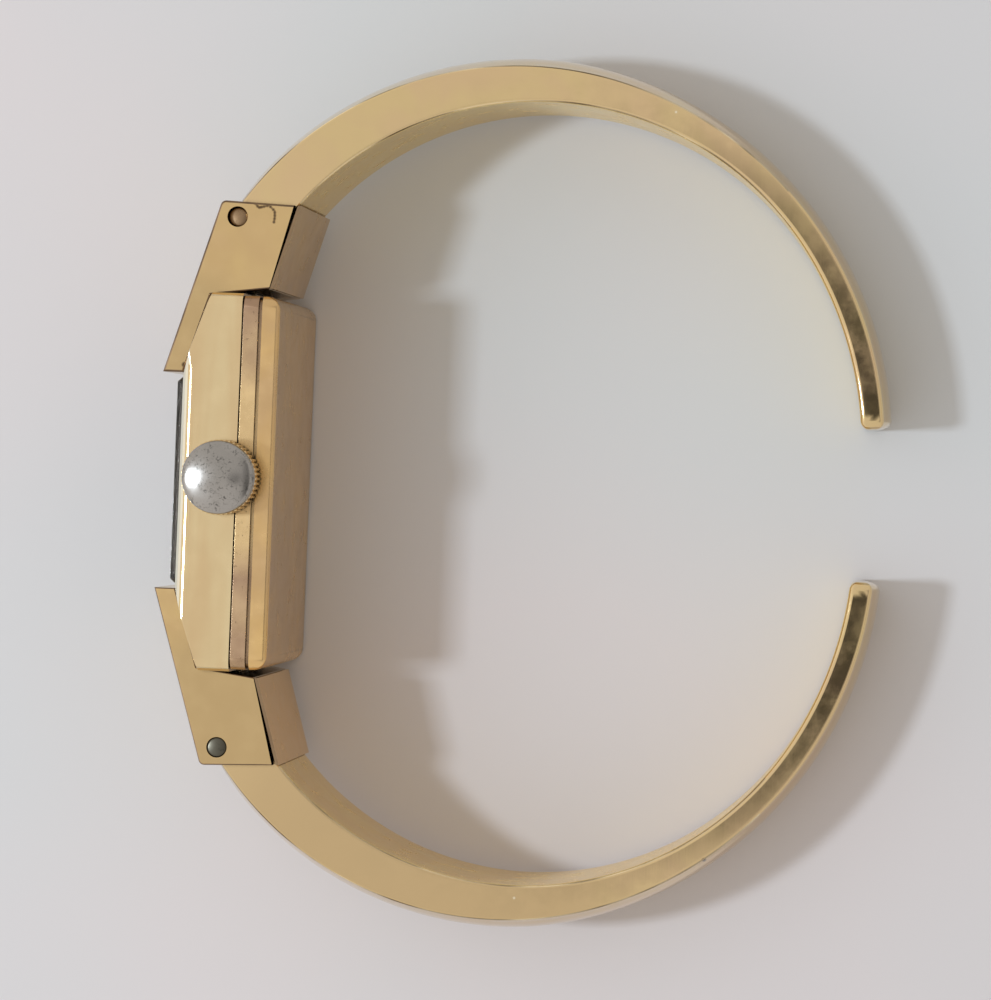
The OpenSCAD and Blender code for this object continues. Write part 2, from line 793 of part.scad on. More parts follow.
module crown_body() color(gold) watch() difference() {
    on_stem(crown_x, crown_end) polygon(flute_points(crown_d / 2, 0.12));
    translate([crown_x, crown_y, crown_z]) rotate([0, 90, 0]) {
        translate([0, 0, -1]) cylinder(r = tube_r + 0.45, h = 1 + crown_recess);
        cylinder(r = stem_r, h = stem_end);
    }
    translate([crown_end - cap_seat, crown_y, crown_z]) rotate([0, 90, 0])
        cylinder(r = cap_spigot_r + eps, h = 2);
}

module crown_cap() color("gray") watch() translate([crown_end, crown_y, crown_z]) rotate([0, 90, 0]) {
    translate([0, 0, -cap_seat]) cylinder(r = cap_spigot_r, h = cap_seat);
    cylinder(r = cap_r, h = cap_edge);
    translate([0, 0, cap_edge]) intersection() {
        translate([0, 0, cap_rise - cap_ball]) sphere(cap_ball);
        cylinder(r = cap_r, h = 2 * cap_rise);
    }
}

module crown_seal() color("dimgray") watch()
    translate([crown_x + 0.15, crown_y, crown_z]) rotate([0, 90, 0]) difference() {
        cylinder(r = tube_r + 0.4, h = 0.5);
        translate([0, 0, -1]) cylinder(r = tube_r + fit_gap, h = 3);
    }

module winding_stem() color(steel) watch() difference() {
    union() {
        on_stem(stem_start, pinion_x) rotate(45) circle(square_r, $fn = 4);
        on_stem(clutch_x + clutch_len + near_gap, crown_x + stem_end) circle(stem_r);
    }
    difference() {
        on_stem(groove_x - groove_len / 2, groove_x + groove_len / 2) circle(stem_r + 1);
        on_stem(groove_x - groove_len, groove_x + groove_len) circle(groove_r);
    }
}

module sliding_clutch() color(steel) watch() difference() {
    on_stem(clutch_x, clutch_x + clutch_len) polygon(tooth_points(12, 2 * clutch_r / 13.6, 0));
    on_stem(clutch_x - 1, clutch_x + clutch_len + 1) rotate(45) circle(square_r + fit_gap, $fn = 4);
}

module winding_pinion() color(steel) watch() difference() {
    on_stem(pinion_x, pinion_x + pinion_len) polygon(tooth_points(pinion_teeth, pinion_mod, 0));
    on_stem(pinion_x - 1, pinion_x + pinion_len + 1) circle(stem_r + stem_gap);
}

// Movement frame

stem_window = 1.15;
barrel_recess_r = barrel_pair[2] * (barrel_pair[0] / 2 + tip_share) + recess_gap;

module bored(places, r, z0, z1) {
    for (place = places) at(place) pivot_bore(r, z0, z1);
}

module main_plate() color(brass) watch() difference() {
    translate([0, 0, plate_z]) linear_extrude(plate_top - plate_z) plate_outline(0);
    recess(barrel_at, barrel_recess_r, drum_h + near_gap);
    recess(centre_at, wheel_r(centre_pair) + recess_gap, 0);
    recess(centre_at, 0.95, 0.5);
    recess(third_at, wheel_r(third_pair) + recess_gap, third_z + wheel_t + near_gap);
    recess(fourth_at, wheel_r(fourth_pair) + recess_gap, fourth_z + wheel_t + fit_gap);
    recess(fourth_at, 0.5, third_z + wheel_t + near_gap);
    recess(escape_at, escape_r + recess_gap, escape_z + 2 * escape_t);
    recess(pallet_at, 1.55, escape_z + 2 * escape_t);
    recess(balance_at, 0.75, escape_z + 2 * escape_t);
    pallet_bar(fit_gap, pallet_bar_top + fit_gap);
    bored([centre_at], centre_r, plate_z, plate_top);
    bored([barrel_at], barrel_arbor_r, plate_z, 1.5);
    bored([third_at, fourth_at, escape_at, pallet_at, balance_at], arbor_r, plate_z, 1);
    box(stem_start - 0.1, pinion_x + pinion_len + near_gap, crown_y - stem_window, crown_y + stem_window,
        plate_z - 1, plate_top + 1);
    on_stem(pinion_x, plate_w) circle(stem_r + stem_gap);
    bored(screw_spots, screw_r, plate_z, 0.8);
}

module recess(place, r, top) {
    at(place) disc(r, plate_z - 1, top);
}

function wheel_r(pair) = pair[2] * (pair[0] / 2 + tip_share);

screw_r = 0.3;
bridge_x = plate_w / 2 - 0.4;
bridge_y = plate_len / 2 - 0.3;
bridge_cut = 1.6;
screw_spots = [
    [1 - bridge_x, 1.2], [bridge_cut - bridge_x, bridge_y - 1], [bridge_x - 1.4, bridge_y - 1],
    [bridge_x - 0.7, 2.4], [0.9 - bridge_x, -2.2], [2.6 - bridge_x, 0.8 - bridge_y], [1.1, 0.8 - bridge_y],
    [bridge_x - 0.8, 0.9 - bridge_y]
];

// Bridge outlines follow the plate's edge and keep clear of the balance
module barrel_bridge_outline() {
    polygon([[-bridge_x, -0.6], [1.3, -0.6], [2, -1.1], [bridge_x, -1.1], [bridge_x, bridge_y - bridge_cut],
        [bridge_x - bridge_cut, bridge_y], [bridge_cut - bridge_x, bridge_y],
        [-bridge_x, bridge_y - bridge_cut]]);
}

module train_bridge_outline() {
    polygon([[-bridge_x, -0.75], [1.2, -0.75], [1.9, -2.2], [1.9, -5], [2.1, -bridge_y],
        [bridge_cut - bridge_x, -bridge_y], [-bridge_x, bridge_cut - bridge_y]]);
}

module bridge() {
    translate([0, 0, bridge_z]) linear_extrude(plate_z - bridge_z) children();
}

contrate_tip = crown_z - pinion_mod * (pinion_teeth / 2 + tip_share) - fit_gap;

module barrel_bridge() color(brass) watch() difference() {
    bridge() barrel_bridge_outline();
    bored([centre_at], centre_r, bridge_z, plate_z);
    bored([barrel_at], barrel_arbor_r, bridge_z, plate_z);
    at(crown_wheel_at) difference() {
        disc(contrate_r + contrate_w / 2 + near_gap, bridge_z - 1, contrate_tip + near_gap / 2);
        disc(contrate_r - contrate_w / 2 - near_gap, bridge_z - 2, plate_z);
    }
    box(pinion_x - near_gap, pinion_x + pinion_len + near_gap, crown_y - stem_window, crown_y + stem_window,
        contrate_tip - eps, 1);
    bored([for (i = [0 : 3]) screw_spots[i]], screw_r, bridge_z, plate_z);
}

module train_bridge() color(brass) watch() difference() {
    bridge() train_bridge_outline();
    bored([third_at, fourth_at, escape_at], arbor_r, bridge_z, plate_z);
    bored([for (i = [4 : 6]) screw_spots[i]], screw_r, bridge_z, plate_z);
}

module balance_cock() color(brass) watch() difference() {
    foot = screw_spots[7];
    union() {
        translate([0, 0, cock_z]) linear_extrude(cock_t) polygon([
            balance_at + [-0.7, 0.4], balance_at + [0.5, 0.7], foot + [0.9, 0.9], foot + [0.2, -0.8],
            foot + [-1.3, -0.6]
        ]);
        translate([0, 0, cock_z]) linear_extrude(plate_z - cock_z)
            polygon([foot + [-1.2, -0.7], foot + [0.2, -0.8], foot + [0.8, 0], foot + [0.7, 0.7],
                foot + [-0.8, 0.7]]);
        at(balance_at + [-1.35, 0]) disc(0.16, cock_z + eps, hair_z);
        translate([0, 0, cock_z]) linear_extrude(cock_t)
            polygon([balance_at + [-1.5, -0.15], balance_at + [-1.5, 0.15], balance_at + [0, 0.4],
                balance_at + [0, -0.4]]);
    }
    bored([balance_at], arbor_r, cock_z, cock_z + cock_t);
    bored([foot], screw_r, cock_z, plate_z);
}

pallet_bar_top = 0.05;

module pallet_bar(grow, top) {
    foot = pallet_at + [0.3, -2.2];
    translate([0, 0, plate_z - (grow > 0 ? 1 : 0)]) linear_extrude(top - plate_z + (grow > 0 ? 1 : 0))
        polygon([pallet_at + [-0.3 - grow, 0.35 + grow], pallet_at + [0.35 + grow, 0.35 + grow],
            foot + [0.5 + grow, -grow], foot + [-0.2 - grow, -grow]]);
}

module pallet_cock() color(brass) watch() difference() {
    pallet_bar(0, pallet_bar_top);
    bored([pallet_at], arbor_r, plate_z, pallet_bar_top);
}

module bridge_screws() color(steel) watch() {
    for (i = [0 : 7]) at(screw_spots[i]) {
        seat = i == 7 ? cock_z : bridge_z;
        difference() {
            disc(0.5, seat - 0.2, seat);
            box(-1, 1, -0.06, 0.06, seat - 1, seat - 0.1);
        }
        disc(screw_r, seat, 0.8, 12);
    }
}

// Power and winding

module barrel_drum() color(brass) watch() at(barrel_at) difference() {
    union() {
        gear(barrel_pair[0], barrel_pair[2], 0, 0.3, barrel_dir + 180);
        disc(drum_r, 0, drum_h, 56);
    }
    disc(drum_r - 0.2, 0.15, drum_h - 0.12, 56);
    pivot_bore(barrel_arbor_r, 0, drum_h);
}

module mainspring() color(steel) watch() at(barrel_at)
    spiral_strip(0.85, drum_r - 0.3, spring_turns, 0.1, 0.2, drum_h - 0.17, 24);

module barrel_arbor() color(steel) watch() at(barrel_at) {
    pivot(barrel_arbor_r, winding_z + winding_t, drum_h + 0.3);
    disc(0.75, 0.2, drum_h - 0.17, 12);
    translate([0, 0, winding_z]) linear_extrude(winding_t) circle(0.4, $fn = 4);
}

module ratchet_wheel() color(steel) watch() at(barrel_at) difference() {
    gear(winding_pair[0], winding_pair[2], winding_z, winding_z + winding_t,
        bearing(barrel_at, crown_wheel_at));
    translate([0, 0, winding_z - 1]) linear_extrude(2) circle(0.4 + eps, $fn = 4);
}

module crown_wheel() color(steel) watch() at(crown_wheel_at) difference() {
    union() {
        gear(winding_pair[1], winding_pair[2], winding_z, winding_z + winding_t,
            gap_phase(bearing(barrel_at, crown_wheel_at), winding_pair[1]));
        disc(contrate_r + contrate_w / 2, winding_z, contrate_tip);
    }
    disc(contrate_r - contrate_w / 2, winding_z + winding_t, contrate_tip + 1);
    for (i = [0 : contrate_teeth - 1]) rotate(i * 360 / contrate_teeth)
        box(contrate_r - contrate_w, contrate_r + contrate_w, -0.1, 0.1, contrate_tip - 0.15, 1);
}

click_dir = 205;
click_at = go(barrel_at, wheel_r(winding_pair) + 0.95, click_dir);

module click() color(steel) watch() at(click_at) rotate(click_dir + 180) {
    nose = 0.95 - 0.08;
    disc(0.4, winding_z, winding_z + winding_t, 24);
    translate([0, 0, winding_z]) linear_extrude(winding_t)
        polygon([[0, -0.35], [nose, -0.12], [nose, 0.06], [0, 0.35]]);
}

// Going train

// A wheel, its pinion and their arbor, which turn as one
module train_wheel(pair, pinion, wheel_z, wheel_phase, pinion_z0, pinion_z1, pinion_phase) {
    spoked(pair[0], pair[2], wheel_z, wheel_z + wheel_t, wheel_phase, spokes = 4);
    gear(pinion[1], pinion[2], pinion_z0, pinion_z1, pinion_phase);
    pivot(arbor_r, arbor_back, arbor_front);
}

module centre_wheel() color(brass) watch() at(centre_at) {
    train_wheel(centre_pair, barrel_pair, centre_z, third_dir, 0, 0.4,
        gap_phase(barrel_dir, barrel_pair[1]) + 180);
    pivot(centre_r, arbor_back, motion_z + 0.6);
}

module third_wheel() color(brass) watch() at(third_at)
    train_wheel(third_pair, centre_pair, third_z, fourth_dir, centre_z, centre_z + wheel_t + pinion_over,
        gap_phase(third_dir, centre_pair[1]));

module fourth_wheel() color(brass) watch() at(fourth_at)
    train_wheel(fourth_pair, third_pair, fourth_z, escape_dir, third_z, third_z + wheel_t + pinion_over,
        gap_phase(fourth_dir, third_pair[1]));

module escape_wheel() color(steel) watch() at(escape_at) {
    translate([0, 0, escape_z]) linear_extrude(escape_t) polygon([
        for (i = [0 : escape_teeth - 1]) for (k = [[0, 1], [0.25, 0.72], [0.8, 0.7]])
            let (a = (i + k[0]) * 360 / escape_teeth, r = escape_r * k[1]) [r * cos(a), r * sin(a)]
    ]);
    gear(fourth_pair[1], fourth_pair[2], fourth_z, fourth_z + wheel_t + pinion_over,
        gap_phase(escape_dir, fourth_pair[1]));
    pivot(arbor_r, arbor_back, arbor_front);
}

module pallet_fork() color(steel) watch() at(pallet_at) {
    reach_in = 0.36;
    rotate(pallet_dir + 180) translate([0, 0, escape_z]) linear_extrude(escape_t)
        polygon([[-0.2, -0.2], [0.1, -0.9], [0.55, -1.15], [0.6, -1], [0.25, -0.75], [reach_in - 0.1, 0],
            [0.25, 0.75], [0.6, 1], [0.55, 1.15], [0.1, 0.9], [-0.2, 0.2]]);
    rotate(balance_dir) translate([0, 0, escape_z]) linear_extrude(escape_t)
        polygon([[0, -0.15], [0.95, -0.07], [1.2, -0.16], [1.25, -0.05], [1.1, 0], [1.25, 0.05], [1.2, 0.16],
            [0.95, 0.07], [0, 0.15]]);
    pivot(arbor_r, plate_z, arbor_front);
}

module balance_wheel() color(brass) watch() at(balance_at) {
    difference() {
        disc(balance_r, balance_z, balance_z + balance_t);
        disc(balance_r - 0.25, balance_z - 1, 1);
    }
    disc(0.35, balance_z, balance_z + balance_t, 24);
    for (i = [0, 1]) rotate(i * 180 + 30)
        box(0, balance_r - 0.25 + eps, -0.11, 0.11, balance_z + 0.04, balance_z + 0.14);
    disc(0.32, 0.08, 0.2, 24);
    pivot(arbor_r, cock_z + 0.1, arbor_front);
}

module hairspring() color("steelblue") watch() at(balance_at) rotate(180 - 360 * hair_turns)
    spiral_strip(0.32, 1.35, hair_turns, 0.04, hair_z, hair_z + 0.09, 24);

// Motion work and hands

cannon_r = 0.32;
pipe_r = 0.55;
minute_level = motion_z + motion_t;

module cannon_pinion() color(steel) watch() difference() {
    union() {
        gear(minute_pair[0], minute_pair[2], motion_z, minute_level, minute_dir);
        disc(cannon_r, motion_z, minute_hand_z + hand_t, 24);
    }
    pivot_bore(centre_r, motion_z, motion_z + 0.65);
}

module minute_wheel() color(brass) watch() at(minute_at) difference() {
    union() {
        gear(minute_pair[1], minute_pair[2], motion_z, minute_level,
            gap_phase(minute_dir, minute_pair[1]));
        gear(hour_pair[0], hour_pair[2], minute_level - eps, minute_level + 0.15, minute_dir + 180);
    }
    pivot_bore(0.15, motion_z, minute_level + 0.15);
}

module hour_wheel() color(brass) watch() difference() {
    union() {
        gear(hour_pair[1], hour_pair[2], minute_level + 0.03, minute_level + 0.15,
            minute_dir + 180 / hour_pair[1]);
        disc(pipe_r, minute_level + 0.03, hour_hand_z + hand_t, 24);
    }
    disc(cannon_r + near_gap / 2, minute_level - 1, 9, 24);
}

module hand(length, width, hub, bore, z) {
    difference() {
        union() {
            disc(hub, z, z + hand_t);
            translate([0, 0, z]) linear_extrude(hand_t)
                polygon([[-width / 2, 0], [-width / 3, length - width], [0, length],
                    [width / 3, length - width], [width / 2, 0]]);
        }
        disc(bore + eps, z - 1, z + 1, 24);
    }
}

hour_angle = -60;
minute_angle = 60;

module hour_hand() color(gold) watch()
    rotate(hour_angle) hand(hour_hand_len, 0.55, hand_hub_r, pipe_r, hour_hand_z);
module minute_hand() color(gold) watch()
    rotate(minute_angle) hand(minute_hand_len, 0.4, 0.5, cannon_r, minute_hand_z);

front_shell();
crystal();
crystal_seal();
middle_band();
case_back();
back_seal();
crown_tube();
dial();
hour_markers();
movement_ring();
hood_12();
hood_6();
hood_cover_12();
hood_cover_6();
end_screws_12();
end_screws_6();
hinge_pin_12();
hinge_pin_6();
arm_spring_12();
arm_spring_6();
bracelet_arm_12();
bracelet_arm_6();
crown_body();
crown_cap();
crown_seal();
winding_stem();
sliding_clutch();
winding_pinion();
main_plate();
barrel_bridge();
train_bridge();
balance_cock();
pallet_cock();
bridge_screws();
barrel_drum();
mainspring();
barrel_arbor();
ratchet_wheel();
crown_wheel();
click();
centre_wheel();
third_wheel();
fourth_wheel();
escape_wheel();
pallet_fork();
balance_wheel();
hairspring();
cannon_pinion();
minute_wheel();
hour_wheel();
hour_hand();
minute_hand();
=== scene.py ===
# %% [markdown]
# # A gold-plated bangle watch
#
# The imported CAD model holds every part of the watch, in metres, lying on its 9 o'clock side with the crown
# up. This lesson dresses it: it builds the visible pieces again with soft edges and real wear, gives each
# part a procedural finish, and sets it on a pale surface below the camera.

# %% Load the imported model
import json
import math

import bmesh
import bpy
from mathutils import Matrix, Vector


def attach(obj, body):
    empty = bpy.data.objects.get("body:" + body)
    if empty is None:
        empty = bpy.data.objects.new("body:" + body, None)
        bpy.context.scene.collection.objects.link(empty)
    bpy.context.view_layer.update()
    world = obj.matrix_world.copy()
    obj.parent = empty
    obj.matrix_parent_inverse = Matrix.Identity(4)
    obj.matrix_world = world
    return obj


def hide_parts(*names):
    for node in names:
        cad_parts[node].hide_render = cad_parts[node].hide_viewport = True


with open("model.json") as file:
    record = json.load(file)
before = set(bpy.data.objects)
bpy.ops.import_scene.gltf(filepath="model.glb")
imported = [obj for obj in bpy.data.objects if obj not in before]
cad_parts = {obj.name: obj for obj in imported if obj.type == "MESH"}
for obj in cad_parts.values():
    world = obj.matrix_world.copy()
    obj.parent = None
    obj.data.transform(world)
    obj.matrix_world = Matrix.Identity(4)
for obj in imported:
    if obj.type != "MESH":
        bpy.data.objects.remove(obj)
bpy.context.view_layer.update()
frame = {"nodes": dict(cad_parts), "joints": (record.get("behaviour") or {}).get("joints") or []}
print("CAD nodes:", len(frame["nodes"]))

# %% [markdown]
# ## The bangle's own plane
#
# The watch rests on its case back and its two arm tips, so it leans a little. It is easier to model in the
# bangle's own plane: x runs from the dial to the wrist, y towards 12 o'clock and z along the crown. The
# record's hinge of the upper arm gives that plane: its axis is z, and its place is the upper pin. Pieces
# are modelled in millimetres there, and one matrix sets them in the scene's metres.

# %% The matrix from the bangle's plane to the scene
hinge = next(j for j in frame["joints"] if j["name"] == "arm_12_swing")
PIN_BACK, PIN_Y = -0.8, 17.8
crown_axis = Vector(hinge["axis"]).normalized()
back_axis = Vector((crown_axis.z, 0, -crown_axis.x))
side_axis = Vector((0, 1, 0))
TURN = Matrix((back_axis, side_axis, crown_axis)).transposed().to_4x4()
seam = Vector(hinge["pos_m"]) - back_axis * PIN_BACK / 1000 - side_axis * PIN_Y / 1000
BANGLE = Matrix.Translation(seam) @ TURN @ Matrix.Scale(0.001, 4)
print("lean in degrees:", round(math.degrees(math.atan2(crown_axis.x, crown_axis.z)), 2))

# %% [markdown]
# ## The camera
#
# In the photograph the edges that run away from the camera meet at one point to the right of the watch.
# That vanishing point and a slight roll give the camera's direction, and one known point gives its place.
# The picture's long side is 1000 pixels for 36 mm of film, so a focal length in pixels becomes millimetres
# with one division.

# %% Set the camera
FOCAL_PX = 4200
PHOTO_CENTRE = (495.5, 500)
VANISHING = (905, 494)
ROLL = math.radians(2.3)
ANCHOR, ANCHOR_PX, ANCHOR_DEPTH = Vector((-0.8, 0, 7.25)), (227, 482), 281.5


def ray(pixel):
    return Vector([(pixel[i] - PHOTO_CENTRE[i]) / FOCAL_PX for i in (0, 1)] + [1])


def aim_camera():
    """The camera's right, down and forward axes come from the bangle's axes as the camera sees them."""
    seen_z = -ray(VANISHING).normalized()
    level = Vector((math.cos(ROLL), math.sin(ROLL), 0))
    seen_x = (level - level.dot(seen_z) * seen_z).normalized()
    seen_y = seen_z.cross(seen_x)
    seen = Matrix((seen_x, seen_y, seen_z))
    place = ANCHOR - seen @ (ray(ANCHOR_PX) * ANCHOR_DEPTH)
    right, down, forward = seen.col
    turn = Matrix((right, -down, -forward)).transposed().to_4x4()
    camera = bpy.data.objects.new("camera", bpy.data.cameras.new("camera"))
    camera.matrix_world = Matrix.Translation(BANGLE @ place) @ TURN @ turn
    camera.data.lens = FOCAL_PX * 36 / 1000
    camera.data.clip_start = 0.02
    bpy.context.collection.objects.link(camera)
    bpy.context.scene.camera = camera
    return camera


camera = aim_camera()
print("camera at", [round(c, 3) for c in camera.matrix_world.translation])

# %% [markdown]
# ## The surface and the light
#
# A pale sheet carries the watch. Metal shows what is around it, so a plain pale room is as much a part of
# the gold's colour as the gold itself. One small soft lamp stands high on the dial's side. It makes the
# shadows to the right and the bright lines on the front edges. The room is a little darker on the wrist's
# side, and two dark places in it give the polished metal something to mirror: a small round one over the
# watch, and a long one that leans over it.

# %% Helpers for node materials
FINISHES = {}


def add(material, kind, values=None, **settings):
    """One node with its settings; values may be numbers or the output sockets of other nodes."""
    tree = material.node_tree
    node = tree.nodes.new(kind)
    for key, value in settings.items():
        setattr(node, key, value)
    for key, value in (values or {}).items():
        socket = node.inputs[key]
        if isinstance(value, bpy.types.NodeSocket):
            tree.links.new(value, socket)
        else:
            socket.default_value = value
    return node


def new_finish(name, **shader):
    """A material with one Principled shader whose fixed values are set on its own sockets."""
    material = bpy.data.materials.new(name)
    material.use_nodes = True
    for key, value in shader.items():
        material.node_tree.nodes["Principled BSDF"].inputs[key.replace("_", " ")].default_value = value
    FINISHES[name] = material
    return material


def drive(material, socket, source):
    material.node_tree.links.new(source, material.node_tree.nodes["Principled BSDF"].inputs[socket])


# %% Noise, colours and bumps
def noise(material, where, scale, detail=3.0, roughness=0.5, distortion=0.0):
    return add(material, "ShaderNodeTexNoise", {
        "Vector": where, "Scale": scale, "Detail": detail, "Roughness": roughness, "Distortion": distortion
    }).outputs["Fac"]


def spread(material, value, low, high, to_low=0.0, to_high=1.0):
    """Stretch a texture's narrow range of values between two limits."""
    return add(material, "ShaderNodeMapRange", {
        "Value": value, "From Min": low, "From Max": high, "To Min": to_low, "To Max": to_high
    }).outputs["Result"]


def blend_colours(material, factor, first, second):
    mix = add(material, "ShaderNodeMix", data_type="RGBA")
    for socket, value in zip((mix.inputs[0], mix.inputs[6], mix.inputs[7]), (factor, first, second)):
        if isinstance(value, bpy.types.NodeSocket):
            material.node_tree.links.new(value, socket)
        else:
            socket.default_value = value if isinstance(value, float) else (*value, 1)
    return mix.outputs[2]


def in_bangle(material, stretch=(1, 1, 1)):
    """Object coordinates turned to the bangle's plane, so that a grain can run along the watch."""
    source = add(material, "ShaderNodeTexCoord").outputs["Object"]
    turn = TURN.to_3x3().inverted().to_euler()
    turned = add(material, "ShaderNodeMapping", {"Vector": source, "Rotation": turn})
    return add(material, "ShaderNodeMapping", {"Vector": turned.outputs[0], "Scale": stretch}).outputs[0]


def bump(material, height, strength, distance, below=None):
    """A bump on the plain surface, or on another bump below it."""
    values = {"Height": height, "Strength": strength, "Distance": distance}
    if below is not None:
        values["Normal"] = below
    return add(material, "ShaderNodeBump", values).outputs["Normal"]


def multiply(material, first, second):
    return add(material, "ShaderNodeMath", {0: first, 1: second}, operation="MULTIPLY").outputs[0]


# %% The pale surface
COOL_TONE, WARM_TONE = (0.605, 0.625, 0.645), (0.655, 0.625, 0.64)
SURFACE_HALF = 1.5


def lay_surface():
    finish = new_finish("pale_surface", Roughness=0.6)
    where = add(finish, "ShaderNodeTexCoord").outputs["Object"]
    patches = spread(finish, noise(finish, where, 14, 2), 0.4, 0.6)
    drive(finish, "Base Color", blend_colours(finish, patches, COOL_TONE, WARM_TONE))
    bm = bmesh.new()
    bmesh.ops.create_grid(bm, x_segments=1, y_segments=1, size=SURFACE_HALF)
    mesh = bpy.data.meshes.new("surface")
    bm.to_mesh(mesh)
    bm.free()
    surface = bpy.data.objects.new("surface", mesh)
    mesh.materials.append(finish)
    bpy.context.collection.objects.link(surface)
    print("surface:", [round(length, 2) for length in surface.dimensions[:2]], "metres")


lay_surface()


# %% The lamp
def set_lamp(name, direction, elevation, distance, size, power, colour):
    """A rectangular lamp that faces the watch; direction 0 is +X and 90 is +Y, seen from above."""
    around, up = math.radians(direction), math.radians(elevation)
    toward = Vector((math.cos(around) * math.cos(up), math.sin(around) * math.cos(up), math.sin(up)))
    light = bpy.data.lights.new(name, "AREA")
    light.shape = "RECTANGLE"
    light.size, light.size_y = size
    light.energy = power
    light.color = colour
    lamp = bpy.data.objects.new(name, light)
    lamp.location = toward * distance
    lamp.rotation_euler = toward.to_track_quat("Z", "Y").to_euler()
    bpy.context.collection.objects.link(lamp)
    print(name, "at", [round(c, 3) for c in lamp.location])


set_lamp("window", direction=183.9, elevation=62.1, distance=0.4525, size=(0.035, 0.05), power=0.73,
         colour=(0.82, 0.91, 1))

# %% The room with its two dark places
ROOM_TONE = (1, 0.95, 0.895, 1)
DIAL_SIDE_GLOW, WRIST_SIDE_GLOW = 0.89, 0.61
PATCH_WAY, PATCH_SHADE = (0.114, -0.007, 1), 0.11
PATCH_INSIDE, PATCH_OUTSIDE = math.cos(math.radians(2.8)), math.cos(math.radians(6))
ZONE_TILT, ZONE_HALF, ZONE_LENGTH = math.radians(19.5), math.sin(math.radians(6)), 0.4
ZONE_LOW, ZONE_HIGH, ZONE_CORE, ZONE_SHADE = 0.5, 0.6, 0.6, 0.25


def along_axis(world, way, axis):
    return add(world, "ShaderNodeVectorMath", {0: way, 1: axis}, operation="DOT_PRODUCT").outputs["Value"]


def dark_zone(world, way):
    """A long dark shape that leans over the watch from the wrist's side and is soft at its edges."""
    aside = TURN @ Vector((math.cos(ZONE_TILT), 0, -math.sin(ZONE_TILT)))
    share = spread(world, along_axis(world, way, TURN @ Vector((0, 0, 1))), ZONE_LOW, ZONE_HIGH)
    for axis, half in ((aside, ZONE_HALF), (Vector((0, 1, 0)), ZONE_LENGTH)):
        far = add(world, "ShaderNodeMath", {0: along_axis(world, way, axis)}, operation="ABSOLUTE").outputs[0]
        share = multiply(world, share, spread(world, far, half, half * ZONE_CORE))
    return spread(world, share, 0, 1, 1, ZONE_SHADE)


def room_glow(world):
    """Brighter on the dial's side, with a small dark patch over the watch and the long dark zone."""
    way = add(world, "ShaderNodeTexCoord").outputs["Generated"]
    glow = spread(world, along_axis(world, way, (1, 0, 0)), -1, 1, DIAL_SIDE_GLOW, WRIST_SIDE_GLOW)
    patch = (TURN @ Vector(PATCH_WAY)).normalized()
    shade = spread(world, along_axis(world, way, patch), PATCH_OUTSIDE, PATCH_INSIDE, 1, PATCH_SHADE)
    return multiply(world, multiply(world, glow, shade), dark_zone(world, way))


def light_room():
    world = bpy.data.worlds.new("room")
    world.use_nodes = True
    bpy.context.scene.world = world
    background = world.node_tree.nodes["Background"]
    background.inputs["Color"].default_value = ROOM_TONE
    world.node_tree.links.new(room_glow(world), background.inputs["Strength"])
    bpy.context.scene.view_settings.view_transform = "Standard"
    print("room nodes:", len(world.node_tree.nodes))


light_room()

# %% [markdown]
# ## Metal finishes
#
# Plated brass is nearly a mirror, and it is the small faults that make it read as metal: broad soft waves
# in the polish, fine hairlines along the piece, and a slightly duller film where fingers touch. The waves
# and hairlines go to a bump, the film to the roughness, and two close shades of gold to the colour. On the
# shell these shades run in streaks along the case. On the arms' rims a paler gold is a painted highlight,
# and the plating is worn through there in patches. Every seam and corner gets painted shade: an ambient
# occlusion node tells how closed in a point is, and the colour turns to dark brown there.
#
# A few marks lie at known places: a crack, some dots and some paler areas. Two of the dots, near-white ones
# on the arms, are painted glints. Each is a round spot with a soft edge, which only needs the distance from
# a point of the side view, and the crack is a row of small spots.
# A painted image could hold them too, but spots need no unwrapping, and they move with their piece.

# %% Painted shade in seams and corners, and marks
DIRT_AND_SHADE = (0.045, 0.028, 0.02)
CLOSED_IN, IN_THE_OPEN = 0.15, 0.65
MOST_NOISE = (0.35, 0.65)


def shade_in_seams(finish, colour, reach=0.0006):
    """Painted shade where surfaces meet: the colour goes dark with the share of open sky above a point."""
    open_sky = add(finish, "ShaderNodeAmbientOcclusion", {"Distance": reach}, samples=6).outputs["AO"]
    return blend_colours(finish, spread(finish, open_sky, CLOSED_IN, IN_THE_OPEN), DIRT_AND_SHADE, colour)


def marked(finish, colour, marks):
    """Marks of the side view: each is a tone and its spots, with x, y, radius and soft edge in mm."""
    flat = in_bangle(finish, (1, 1, 0))
    for tone, spots in marks:
        for x, y, radius, soft in spots:
            place = TURN.to_3x3().inverted() @ (BANGLE @ Vector((x, y, 0)))
            sockets = {0: flat, 1: (place.x, place.y, 0)}
            gap = add(finish, "ShaderNodeVectorMath", sockets, operation="DISTANCE").outputs["Value"]
            near = spread(finish, gap, radius / 1000, (radius + soft) / 1000)
            colour = blend_colours(finish, near, tone, colour)
    return colour


# %% Metal with waves, hairlines and pits
# Scales of the noises in features per metre, and heights of the bumps in metres.
PATCHES, FILM, PITS, WEAR, WAVES, HAIRS = 260, 700, 4200, 600, 420, 9000
WAVE_HEIGHT, HAIR_HEIGHT, HAIR_STRENGTH = 0.00002, 0.000004, 0.12
PIT_NOISE, WEAR_NOISE = (0.66, 0.70), (0.38, 0.5)
FILM_ROUGHNESS, PIT_DARKNESS = 0.08, 0.25


